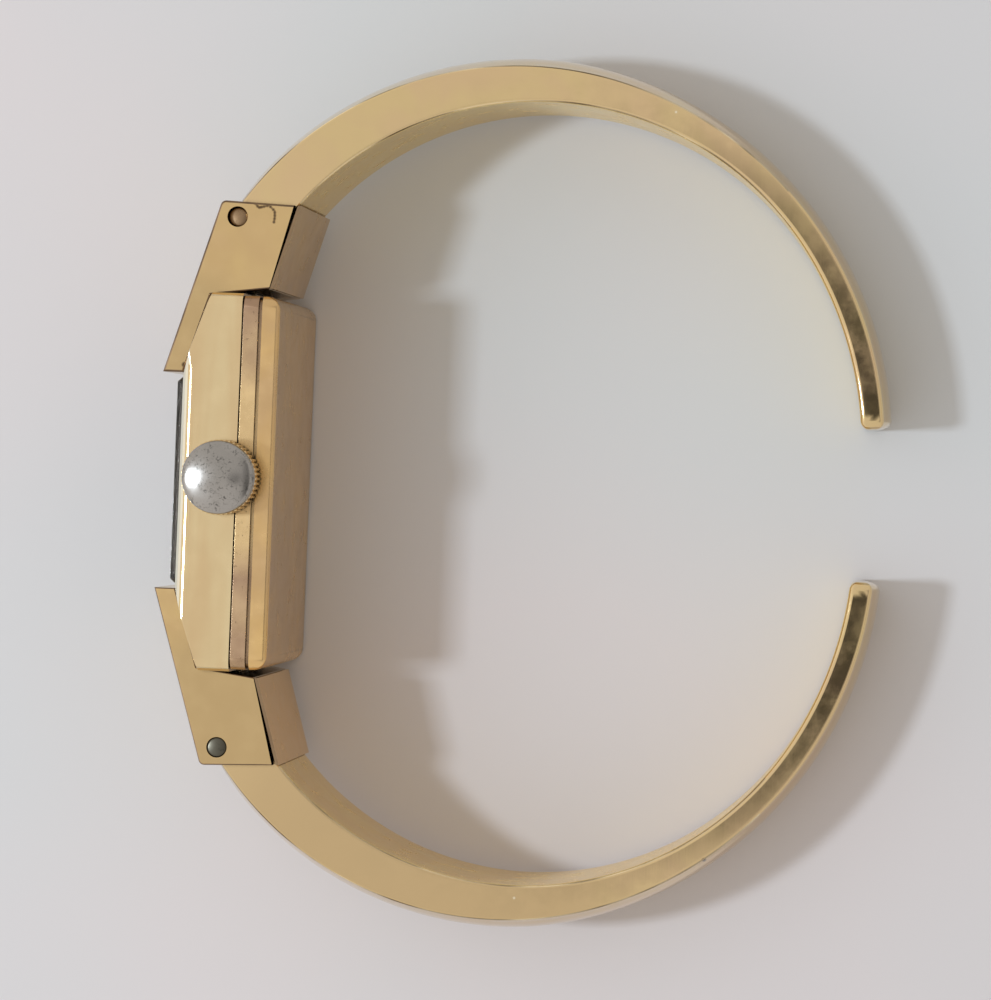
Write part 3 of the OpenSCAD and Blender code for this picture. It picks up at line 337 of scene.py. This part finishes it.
def plated(name, light_tone, dark_tone, rough, wave=0.35, grain=(1, 0.08, 1), pits=0.0, patch=PATCHES,
           streaked=False, marks=()):
    """Polished metal in two tones; pits is how much of it is pitted, and streaks follow the grain."""
    finish = new_finish(name, Metallic=1.0)
    where = in_bangle(finish)
    along = in_bangle(finish, grain)
    patches = spread(finish, noise(finish, along if streaked else where, patch, 2, 0.5, 0.4), *MOST_NOISE)
    colour = marked(finish, blend_colours(finish, patches, light_tone, dark_tone), marks)
    film = noise(finish, where, FILM, 4, 0.6)
    if pits:
        fine = spread(finish, noise(finish, where, PITS, 4, 0.65, 1.2), PIT_NOISE[0] - pits, PIT_NOISE[1])
        worn = spread(finish, noise(finish, where, WEAR, 1), *WEAR_NOISE)
        pit_tone = tuple(c * PIT_DARKNESS for c in dark_tone)
        colour = blend_colours(finish, multiply(finish, fine, worn), colour, pit_tone)
    # Painted shade: the colour turns dark brown in seams and corners.
    drive(finish, "Base Color", shade_in_seams(finish, colour))
    drive(finish, "Roughness", spread(finish, film, *MOST_NOISE, rough, rough + FILM_ROUGHNESS))
    waves = bump(finish, noise(finish, along, WAVES, 1.5), wave, WAVE_HEIGHT)
    drive(finish, "Normal", bump(finish, noise(finish, along, HAIRS, 2), HAIR_STRENGTH, HAIR_HEIGHT, waves))
    return finish


def crack(points, radius, soft, steps=4):
    """A crack is a row of small spots, so close together that they run into one line."""
    rows = zip(points, points[1:])
    return tuple((*a.lerp(b, i / steps), radius * (i % 2), soft) for a, b in rows for i in range(steps))


# %% The marks and the metals
CRACK = [Vector(point) for point in (
    (0.3, 18.8), (0.6, 18.45), (0.85, 18.5), (1.3, 18.62), (1.7, 18.25), (1.72, 17.85), (1.66, 17.4))]
HOOD_MARKS = (
    ((0.64, 0.47, 0.24), ((-0.5, -16, 5, 2), (-4, 10, 3, 2))),
    ((0.14, 0.09, 0.05), crack(CRACK, 0.04, 0.1) + ((-4.0, 7.75, 0.12, 0.12),)),
)
ARM_MARKS = (
    ((0.70, 0.525, 0.29), ((8, -23, 6, 6), (18, -27, 5, 6))),
    (DIRT_AND_SHADE, ((32.02, -24.02, 0.08, 0.1),)),
    # Two near-white dots on the arms: painted glints.
    ((1.0, 0.93, 0.72), ((19.44, -27.11, 0.02, 0.1), (28.15, 25.95, 0.02, 0.1))),
)
BACK_MARKS = (((0.88, 0.60, 0.27), ((2.7, -16.2, 4, 1),)),)
BAND_MARKS = (((0.72, 0.52, 0.27), ((0.6, 1.0, 5, 2.5),)),)
GOLD = plated("gold_plate", (0.80, 0.62, 0.33), (0.80, 0.59, 0.36), 0.1)
# A paler gold for the shell's slope: a painted sheen.
SLOPE_SHEEN_GOLD = plated("slope_sheen_gold", (0.94, 0.91, 0.76), (0.92, 0.86, 0.70), 0.12, 0.6)
ARM_GOLD = plated("arm_gold", (0.80, 0.62, 0.33), (0.79, 0.59, 0.34), 0.05, 0.25, marks=ARM_MARKS)
CASE_GOLD = plated("case_gold", (0.85, 0.70, 0.42), (0.77, 0.57, 0.32), 0.1, 0.5, (1, 0.12, 1), patch=420,
                   streaked=True)
# A paler gold as a painted highlight on the arms' rims, with dark patches where the plating is worn.
RIM_SHINE_AND_WEAR_GOLD = plated("rim_shine_and_wear_gold", (0.95, 0.80, 0.52), (0.13, 0.09, 0.045), 0.15, patch=150)
# A brighter, yellower gold for the arms' inside: a painted reflection.
INNER_REFLECTION_GOLD = plated("inner_reflection_gold", (1.0, 0.77, 0.31), (0.97, 0.72, 0.30), 0.2, 0.15)
HOOD_GOLD = plated("hood_gold", (0.74, 0.54, 0.26), (0.70, 0.50, 0.255), 0.12, 0.5, marks=HOOD_MARKS)
# Painted shade for the thin sides of the cover plates.
PLATE_SIDE_SHADE_GOLD = plated("plate_side_shade_gold", (0.24, 0.16, 0.09), (0.20, 0.13, 0.075), 0.4)
BACK_GOLD = plated("back_gold", (0.74, 0.50, 0.22), (0.66, 0.45, 0.23), 0.2, 0.5, marks=BACK_MARKS)
BAND_GOLD = plated("band_gold", (0.58, 0.41, 0.24), (0.40, 0.26, 0.17), 0.24, 0.7, pits=0.015,
                   marks=BAND_MARKS)
# A painted dark reflection on the end pieces' near rims.
RIM_DARK_REFLECTION = plated("rim_dark_reflection", (0.26, 0.17, 0.10), (0.12, 0.08, 0.05), 0.35, 0.8)
STEEL = plated("steel", (0.60, 0.60, 0.60), (0.52, 0.52, 0.51), 0.22)
CAP_STEEL = plated("cap_steel", (0.47, 0.45, 0.43), (0.37, 0.355, 0.335), 0.13, 0.4, pits=0.12)
BRONZE = plated("pin_bronze", (0.42, 0.28, 0.16), (0.24, 0.16, 0.09), 0.25, 0.8, pits=0.04)
PIN_STEEL = plated("pin_steel", (0.15, 0.14, 0.11), (0.09, 0.085, 0.065), 0.3, 0.8, pits=0.03)
BRASS = plated("movement_brass", (0.74, 0.58, 0.30), (0.70, 0.53, 0.27), 0.28, 0.1, (1, 1, 0.05))
BLUED = plated("blued_steel", (0.05, 0.09, 0.32), (0.09, 0.08, 0.30), 0.18)
all_marks = HOOD_MARKS + ARM_MARKS + BACK_MARKS + BAND_MARKS
print("spots on the side view:", sum(len(spots) for tone, spots in all_marks))

# %% [markdown]
# ## Glass, rubber and the dial
#
# The glass is clear acrylic: a transmitting shader with acrylic's refractive index and a faint haze of fine
# scratches. The seals are matt rubber with a grain. The dial is a pale lacquer over fine brushing that runs
# from 12 to 6 o'clock.

# %% The other finishes
HAZE, SCRATCHES, SCRATCH_HEIGHT = 900, 6000, 0.000004


def clear_glass():
    finish = new_finish("clear_glass", Transmission_Weight=1.0, IOR=1.49, Base_Color=(0.93, 0.93, 0.90, 1))
    where = in_bangle(finish)
    haze = noise(finish, where, HAZE, 5, 0.7)
    drive(finish, "Roughness", spread(finish, haze, 0.45, 0.7, 0.02, 0.16))
    scratches = noise(finish, in_bangle(finish, (1, 0.05, 1)), SCRATCHES, 3)
    drive(finish, "Normal", bump(finish, scratches, 0.1, SCRATCH_HEIGHT))
    return finish


def grained(name, light_tone, dark_tone, rough, scale, stretch, height):
    """One noise gives a matt surface its tones, its roughness and its grain."""
    finish = new_finish(name)
    grain = noise(finish, in_bangle(finish, stretch), scale, 4, 0.6)
    colour = blend_colours(finish, spread(finish, grain, *MOST_NOISE), light_tone, dark_tone)
    # Painted shade: the colour turns dark brown in seams and corners.
    drive(finish, "Base Color", shade_in_seams(finish, colour, reach=0.0003))
    drive(finish, "Roughness", spread(finish, grain, *MOST_NOISE, rough, rough + 0.12))
    drive(finish, "Normal", bump(finish, grain, 0.4, height))
    return finish


GLASS = clear_glass()
RUBBER = grained("seal_rubber", (0.02, 0.02, 0.02), (0.04, 0.038, 0.036), 0.6, 3000, (1, 1, 1), 0.00002)
DIAL = grained("dial_lacquer", (0.80, 0.76, 0.64), (0.74, 0.70, 0.58), 0.3, 2500, (1, 0.04, 1), 0.000006)
print("finishes:", ", ".join(FINISHES))

# %% Every CAD node gets the finish of its material
NODE_FINISHES = {
    RUBBER: ("crystal_seal", "back_seal", "crown_seal"),
    DIAL: ("dial",),
    GLASS: ("crystal",),
    BRASS: ("movement_ring", "main_plate", "barrel_bridge", "train_bridge", "balance_cock", "pallet_cock",
            "barrel_drum", "centre_wheel", "third_wheel", "fourth_wheel", "balance_wheel", "minute_wheel",
            "hour_wheel"),
    STEEL: ("crown_tube", "end_screws_12", "end_screws_6", "arm_spring_12", "arm_spring_6", "winding_stem",
            "sliding_clutch", "winding_pinion", "mainspring", "barrel_arbor", "ratchet_wheel", "crown_wheel",
            "click", "escape_wheel", "pallet_fork", "cannon_pinion"),
    BLUED: ("bridge_screws", "hairspring"),
    BAND_GOLD: ("middle_band",),
    BACK_GOLD: ("case_back", "hood_cover_12", "hood_cover_6"),
    HOOD_GOLD: ("hood_12", "hood_6"),
    CAP_STEEL: ("crown_cap",),
    BRONZE: ("hinge_pin_12",),
    PIN_STEEL: ("hinge_pin_6",),
}
for node in frame["nodes"].values():
    node.data.materials.clear()
    node.data.materials.append(GOLD)
for finish, names in NODE_FINISHES.items():
    for name in names:
        frame["nodes"][name].data.materials[0] = finish
print("plain gold nodes:", sum(node.data.materials[0] == GOLD for node in frame["nodes"].values()))

# %% [markdown]
# ## Rounding the edges of a part
#
# No edge of a real watch is as sharp as a drawing's. Light catches every edge as a thin bright line, so
# each visible part is copied from its CAD node, its loose triangles are merged back to whole faces, and its
# sharp edges get a small round. A Bevel modifier could do it too, but the operator takes the list of edges,
# so an edge that is hidden or meets another part can stay as it is.

# %% From a bmesh to a piece of the scene
ROUND_ANGLE, SHADE_ANGLE = math.radians(24), math.radians(34)
FACE_WEIGHT = 90


def sharp_edges(bm, limit, test=None):
    return [e for e in bm.edges if e.is_manifold and e.calc_face_angle() > limit and (not test or test(e))]


def finish_piece(name, bm, body, materials, replaces):
    """Turn a bmesh in the bangle's plane into a piece of the scene that rides on a body."""
    bmesh.ops.transform(bm, matrix=BANGLE, verts=bm.verts)
    bm.normal_update()
    for face in bm.faces:
        face.smooth = True
    for edge in sharp_edges(bm, SHADE_ANGLE):
        edge.smooth = False
    mesh = bpy.data.meshes.new(name)
    bm.to_mesh(mesh)
    bm.free()
    piece = bpy.data.objects.new(name, mesh)
    bpy.context.collection.objects.link(piece)
    for material in materials:
        mesh.materials.append(material)
    shading = piece.modifiers.new("even_shading", "WEIGHTED_NORMAL")
    shading.weight = FACE_WEIGHT
    shading.keep_sharp = True
    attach(piece, body)
    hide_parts(*replaces)


# %% A softened copy of a CAD node
WELD, FLAT_ANGLE = 0.002, math.radians(0.5)
SAME = -1


def copy_of(node):
    """The node's mesh in the bangle's plane, in millimetres, with whole faces."""
    bm = bmesh.new()
    bm.from_mesh(frame["nodes"][node].data)
    bmesh.ops.transform(bm, matrix=BANGLE.inverted(), verts=bm.verts)
    bmesh.ops.remove_doubles(bm, verts=bm.verts, dist=WELD)
    bmesh.ops.dissolve_limit(bm, angle_limit=FLAT_ANGLE, verts=bm.verts, edges=bm.edges)
    bm.normal_update()
    return bm


def round_edges(bm, width, segments, test=None, material=SAME):
    """Round the sharp edges that pass the test, all of them if there is none.

    A round with its own material is a plain outline that can't overlap itself, so the others are clamped.
    """
    bmesh.ops.bevel(bm, geom=sharp_edges(bm, ROUND_ANGLE, test), offset=width, offset_type="OFFSET",
                    segments=segments, profile=0.5, affect="EDGES", clamp_overlap=material == SAME,
                    material=material)
    bm.normal_update()


def soften(node, body, materials, rounds, fit=None, paint=None):
    """Copy a node, fit its points, round its edges in turn and choose the materials of its faces."""
    bm = copy_of(node)
    if fit:
        for vert in bm.verts:
            vert.co = fit(vert.co)
    before = len(bm.faces)
    for one_round in rounds:
        round_edges(bm, *one_round)
    if paint:
        for face in bm.faces:
            face.material_index = paint(face)
    print(node, "faces", before, "->", len(bm.faces))
    finish_piece(node + "_worn", bm, body, materials, [node])


def middle(edge):
    return (edge.verts[0].co + edge.verts[1].co) / 2

# %% [markdown]
# ## The case
#
# The case is a stack: a front shell, a middle band and a case back. They differ in how sharp they are. The
# shell was polished by hand and its corners are soft, the band is a plain strip between two seams, and the
# back is a pressing whose long edges stay sharp. The shell and the back aren't rounded beside the seams, so
# the seams stay thin. The shell's slope shines paler than its side, and its paler gold is a painted sheen.
# A texture could fade from one to the other, but the real change is a clear line along an edge, so the
# slope's faces get a second material.

# %% Shell, band and back
# Parts of a face's unit normal: a flat side has nearly all of it in z, a 45 degree slope seven tenths.
FLAT_SIDE, CORNER_SLOPE = 0.95, (0.55, 0.85)
SLOPE_LEAST, SLOPE_MOST = 0.2, 0.9
SHELL_SEAM, BACK_SEAM, BACK_END = -0.15, 1.7, 11
SWELL, FRONT, POLISHED_OFF = 1.016, -4, 0.17


def polished_corner(edge):
    """The long edges between the flat sides and their 45 degree slopes."""
    tilts = sorted(abs(face.normal.z) for face in edge.link_faces)
    return tilts[1] > FLAT_SIDE and CORNER_SLOPE[0] < tilts[0] < CORNER_SLOPE[1]


def shell_edge(edge):
    return not polished_corner(edge) and middle(edge).x < SHELL_SEAM


def at_the_ends(edge):
    return middle(edge).x > BACK_SEAM and abs(middle(edge).y) > BACK_END


def on_slope(face):
    """1 for the painted sheen, a second material, on the slope and its rounds, else 0."""
    leans = SLOPE_LEAST < abs(face.normal.z) < SLOPE_MOST
    return int(leans and face.normal.x < 0 and abs(face.normal.y) < SLOPE_LEAST)


def longer(place):
    """The worn ends swell a little past the drawing's, and the shell's front has been polished lower."""
    place.y *= SWELL
    if place.x < FRONT:
        place.x += POLISHED_OFF
    return place


# The slope's second material is a painted sheen.
soften("front_shell", "case", [CASE_GOLD, SLOPE_SHEEN_GOLD],
       [(0.38, 6, polished_corner), (0.24, 4, shell_edge)], longer, on_slope)
soften("middle_band", "case", [BAND_GOLD], [(0.06, 3)], longer)
soften("case_back", "case", [BACK_GOLD], [(0.12, 3, at_the_ends)], longer)

# %% [markdown]
# ## The end pieces
#
# Each hooded end piece is one milled block with a lip over the case, a slot for the arm and a cover plate
# let into its back. The plate is a separate part, so its dark outline is a real gap, and the plate's thin
# sides get a dark material as painted shade. The near side's rim gets a dark round, a painted dark
# reflection. An image could paint that outline, but a bevel can give its new faces a material of their own,
# so one bevel rounds the rim and paints it dark. The pins' bores and the edge over the cover plate stay
# sharp.

# %% End pieces, cover plates and pins
OUTLINE = {"12": 0.14, "6": 0.08}
DARK_RIM, AROUND_PIN = 1, 1.1
COVER_FRONT, COVER_SPAN = 1.3, 2
LOWER_END, LOWER_BY = -18.5, 0.15
PLATE_SIDE = 0.5


def on_near_side(edge):
    """An edge of the flat side that shows its 3 o'clock face to the camera."""
    return any(face.normal.z > FLAT_SIDE for face in edge.link_faces)


def around_pin(edge):
    pin = Vector((PIN_BACK, math.copysign(PIN_Y, middle(edge).y), middle(edge).z))
    return (middle(edge) - pin).length < AROUND_PIN


def hood_outline(edge):
    """The near side's rim, without the edge over the cover plate."""
    a, b = (vert.co for vert in edge.verts)
    beside_cover = min(a.x, b.x) > COVER_FRONT and abs(a.y - b.y) > COVER_SPAN
    return on_near_side(edge) and not around_pin(edge) and not beside_cover


def other_hood_edge(edge):
    return not on_near_side(edge) and not around_pin(edge)


def lower_end(place):
    """The end piece at 6 o'clock is a little longer than its twin."""
    if place.y < LOWER_END:
        place.y -= LOWER_BY
    return place


def plate_side(face):
    """1 for the painted shade on the plate's near and far sides, else 0."""
    return int(abs(face.normal.z) > PLATE_SIDE)


for hour in ("12", "6"):
    # The near rim's round is a painted dark reflection, and the plates' sides are painted shade.
    soften("hood_" + hour, "case", [HOOD_GOLD, RIM_DARK_REFLECTION],
           [(OUTLINE[hour], 3, hood_outline, DARK_RIM), (0.1, 3, other_hood_edge)], lower_end)
    soften("hood_cover_" + hour, "case", [BACK_GOLD, PLATE_SIDE_SHADE_GOLD], [], lower_end, plate_side)
soften("hinge_pin_12", "case", [BRONZE], [(0.16, 3)])
soften("hinge_pin_6", "case", [PIN_STEEL], [(0.16, 3)])

# %% [markdown]
# ## The bangle's arms
#
# An arm is a drawn strip with a flat near side and a domed outer face, bent to a curve and narrowed towards
# its tip. It could be one spin of its section, but its outside and inside have different centres and its
# width changes, so the section is extruded ring by ring, and each new ring is set to its own place. The
# dome is part of one large circle, so it is lower where the arm is narrower, and the rims are rounder
# towards the tip, where the last rings shrink along a quarter circle. Two flat cuts let the root into the
# end piece. The inside is a brighter, yellower gold, a painted reflection. The rounded rims have a paler
# gold, a painted highlight, and their plating is worn through in patches, so both have a material of
# their own.

# %% The curves of an arm, in millimetres
HALF_ROOT, HALF_TIP = 6.1, 3.85
TAPER_START, TAPER_END = 3.44, 42.9
OUTER_ARCS = (Vector((18.23, 5.56)), 23.18), (Vector((17.54, 3.42)), 25.43)
INNER_ARCS = (Vector((19.63, 4.93)), 21.46), (Vector((16.76, 3.13)), 24.85)
OUTER_JOIN, INNER_JOIN = math.radians(72.3), math.radians(32.2)
ROOT_ANGLE, TIP_HALF_GAP = math.radians(152), 5.3
RIM_ROOT, RIM_TIP, RIM_STEPS, RIM_LEAST = (0.18, 0.18), (0.34, 0.3), 6, 0.04
DOME_RADIUS, DOME_MOST, DOME_STEPS, DOME_SHRINK = 15.5, 0.85, 14, 0.5
THICKER_TIP, TIP_ROUND = 0.2, 0.6
ARM_STEPS, TIP_STEPS = 96, 8


def tapered(x, root, tip):
    """A size that goes evenly from the arm's root to its tip, at a depth x behind the case's seam."""
    share = min(max((x - TAPER_START) / (TAPER_END - TAPER_START), 0), 1)
    return root + (tip - root) * share


def meet(start, direction, centre, radius):
    """Distance along a line from a point inside a circle to the circle."""
    gap = start - centre
    along = gap.dot(direction)
    return -along + math.sqrt(along * along - gap.dot(gap) + radius * radius)


def arm_ring(angle, shrink=0.0):
    """The section at one angle, from the inside over the near rim and the dome to the far rim."""
    centre, radius = OUTER_ARCS[0] if angle > OUTER_JOIN else OUTER_ARCS[1]
    inner_centre, inner_radius = INNER_ARCS[0] if angle > INNER_JOIN else INNER_ARCS[1]
    along = Vector((math.cos(angle), math.sin(angle)))
    thin = tapered(centre.x + along.x * radius, 0, THICKER_TIP)
    inside = centre + along * (meet(centre, along, inner_centre, inner_radius) - thin + shrink)
    outside = centre + along * (radius - shrink)
    half_out = tapered(outside.x, HALF_ROOT, HALF_TIP)
    rise = min(half_out ** 2 / 2 / DOME_RADIUS, DOME_MOST) - shrink * DOME_SHRINK
    rims = []
    for corner, out, start, root, tip in zip((inside, outside), (-1, 1), (180, 90), RIM_ROOT, RIM_TIP):
        rim = max(tapered(outside.x, root, tip) - shrink, RIM_LEAST)
        for step in range(RIM_STEPS + 1):
            turn = math.radians(start - 90 * step / RIM_STEPS)
            place = corner + along * rim * (math.cos(turn) - out)
            half = tapered(place.x, HALF_ROOT, HALF_TIP) - shrink
            rims.append((*place, half - rim + rim * math.sin(turn)))
    dome = []
    for step in range(1, DOME_STEPS):
        across = 1 - 2 * step / DOME_STEPS
        dome.append((*(outside + along * rise * (1 - across * across)), across * rims[-1][2]))
    return rims + dome + [(x, y, -z) for x, y, z in reversed(rims)]


def arm_angles():
    """Angles along the arm, with short steps where the tip rounds off, and how far each ring is drawn in."""
    centre, radius = OUTER_ARCS[1]
    start = math.asin((TIP_HALF_GAP - centre.y) / radius) + TIP_ROUND / radius
    rings = [(ROOT_ANGLE + (start - ROOT_ANGLE) * i / ARM_STEPS, 0.0) for i in range(ARM_STEPS + 1)]
    for i in range(1, TIP_STEPS + 1):
        turn = math.pi / 2 * i / TIP_STEPS
        rings.append((start - TIP_ROUND * math.sin(turn) / radius, TIP_ROUND * (1 - math.cos(turn))))
    return rings


def sweep(rings):
    """A tube through rings of points: the last ring's edges are extruded and moved to the next ring."""
    bm = bmesh.new()
    verts = [bm.verts.new(point) for point in rings[0]]
    edges = [bm.edges.new((a, b)) for a, b in zip(verts, verts[1:] + verts[:1])]
    bm.faces.new(verts)
    for ring in rings[1:]:
        grown = bmesh.ops.extrude_edge_only(bm, edges=edges)["geom"]
        fresh = {part for part in grown if isinstance(part, bmesh.types.BMVert)}
        edges = [part for part in grown
                 if isinstance(part, bmesh.types.BMEdge) and fresh.issuperset(part.verts)]
        verts = [next(e.other_vert(v) for e in v.link_edges if e.other_vert(v) in fresh) for v in verts]
        for vert, point in zip(verts, ring):
            vert.co = point
    bm.faces.new(reversed(verts))
    return bm


# %% The two arms
KNUCKLE_R, KNUCKLE_SIDES = 1.05, 48
ROOT_CUT = Vector((PIN_BACK, PIN_Y, 0)), 51, 0.2
ENTRY_CUT = Vector((-0.9, 18.87, 0)), 60
BANGLE_MIDDLE, INWARD = Vector((18.5, 0, 0)), 0.75
RIM_LEAN, WORN_UNTIL, SHINY_WORN_RIM = (0.45, 0.9), 36, 2
TIP_BEND, TIP_DEPTH = Vector((-0.33, 0.26, 0)), 43


def cut_away(bm, place, normal):
    """Cut with a plane, drop what lies on the normal's side and close the cut."""
    whole = bm.verts[:] + bm.edges[:] + bm.faces[:]
    cut = bmesh.ops.bisect_plane(bm, geom=whole, plane_co=place, plane_no=normal, clear_outer=True)
    rim = [part for part in cut["geom_cut"] if isinstance(part, bmesh.types.BMEdge)]
    bmesh.ops.holes_fill(bm, edges=rim)


def facing(degrees):
    return Vector((math.cos(math.radians(degrees)), math.sin(math.radians(degrees)), 0))


def faces_inward(face):
    """The arm's inside looks at the middle of the bangle."""
    inward = BANGLE_MIDDLE - face.calc_center_median()
    inward.z = 0
    return int(face.normal.dot(inward.normalized()) > INWARD)


def on_rim(face):
    """The middle of each rounded rim: a paler gold as a painted highlight, worn through in places."""
    return RIM_LEAN[0] < abs(face.normal.z) < RIM_LEAN[1] and face.calc_center_median().x < WORN_UNTIL


def bend_closer(bm):
    """The lower arm is bent a little closer than its twin, most of all at the tip."""
    for vert in bm.verts:
        vert.co += TIP_BEND * max(vert.co.x / TIP_DEPTH, 0) ** 2


def build_arm(hour):
    bm = sweep([arm_ring(angle, shrink) for angle, shrink in arm_angles()])
    pin, root_dir, root_back = ROOT_CUT
    cut_away(bm, pin - facing(root_dir) * root_back, -facing(root_dir))
    flat, flat_dir = ENTRY_CUT
    cut_away(bm, flat, facing(flat_dir + 90))
    bmesh.ops.create_cone(bm, cap_ends=True, segments=KNUCKLE_SIDES, radius1=KNUCKLE_R, radius2=KNUCKLE_R,
                          depth=2 * HALF_ROOT, matrix=Matrix.Translation(pin))
    if hour == "6":
        bmesh.ops.transform(bm, matrix=Matrix.Diagonal((1, -1, 1, 1)), verts=bm.verts)
    bmesh.ops.recalc_face_normals(bm, faces=bm.faces)
    print("arm", hour, "faces", len(bm.faces), "open edges", sum(not e.is_manifold for e in bm.edges))
    name = "bracelet_arm_" + hour
    # The inside gets a painted reflection, the rims a painted highlight with worn patches.
    for face in bm.faces:
        face.material_index = SHINY_WORN_RIM if on_rim(face) else faces_inward(face)
    if hour == "6":
        bend_closer(bm)
    finish_piece(name + "_worn", bm, "arm_" + hour, [ARM_GOLD, INNER_REFLECTION_GOLD, RIM_SHINE_AND_WEAR_GOLD], [name])


for hour in ("12", "6"):
    build_arm(hour)

# %% [markdown]
# ## The glass and the crown
#
# The glass is a moulded block with soft edges. The crown is a fluted gold ring with a domed steel cap
# pressed into it. The cap is turned work, so its profile is spun about the crown's axis: a seat, a rounded
# rim and a shallow dome that leaves the rim without a kink.

# %% The cap's profile, radius and height in millimetres, and its spin
CROWN_AXIS, CROWN_END = Vector((-0.78, 0.3, 0)), 11.1
CAP_R, CAP_RIM, CAP_BALL = 2.45, 0.35, 8.6
SEAT_R, SEAT_DEPTH = 1.6, 0.3
CAP_RIM_STEPS, BALL_STEPS, SPIN_STEPS, SPIN_WELD = 6, 12, 96, 0.0005


def cap_profile():
    slope = math.acos((CAP_R - CAP_RIM) / (CAP_BALL - CAP_RIM))
    ball_height = -(CAP_BALL - CAP_RIM) * math.sin(slope)
    profile = [(0, -SEAT_DEPTH), (SEAT_R, -SEAT_DEPTH), (SEAT_R, 0)]
    for step in range(CAP_RIM_STEPS + 1):
        turn = slope * step / CAP_RIM_STEPS
        profile.append((CAP_R - CAP_RIM + CAP_RIM * math.cos(turn), CAP_RIM * math.sin(turn)))
    for step in range(1, BALL_STEPS + 1):
        turn = slope + (math.pi / 2 - slope) * step / BALL_STEPS
        profile.append((CAP_BALL * math.cos(turn), ball_height + CAP_BALL * math.sin(turn)))
    return profile


def spin_cap():
    bm = bmesh.new()
    verts = [bm.verts.new(CROWN_AXIS + Vector((r, 0, CROWN_END + h))) for r, h in cap_profile()]
    edges = [bm.edges.new(pair) for pair in zip(verts, verts[1:])]
    bmesh.ops.spin(bm, geom=verts + edges, cent=CROWN_AXIS, axis=(0, 0, 1), angle=math.tau, steps=SPIN_STEPS,
                   use_merge=True)
    bmesh.ops.remove_doubles(bm, verts=bm.verts, dist=SPIN_WELD)
    bmesh.ops.recalc_face_normals(bm, faces=bm.faces)
    print("cap faces", len(bm.faces), "open edges", sum(not e.is_manifold for e in bm.edges))
    finish_piece("crown_cap_worn", bm, "crown", [CAP_STEEL], ["crown_cap"])


spin_cap()

# %% Glass and crown
soften("crystal", "case", [GLASS], [(0.15, 3)])
soften("crown_body", "crown", [GOLD], [(0.05, 2)])
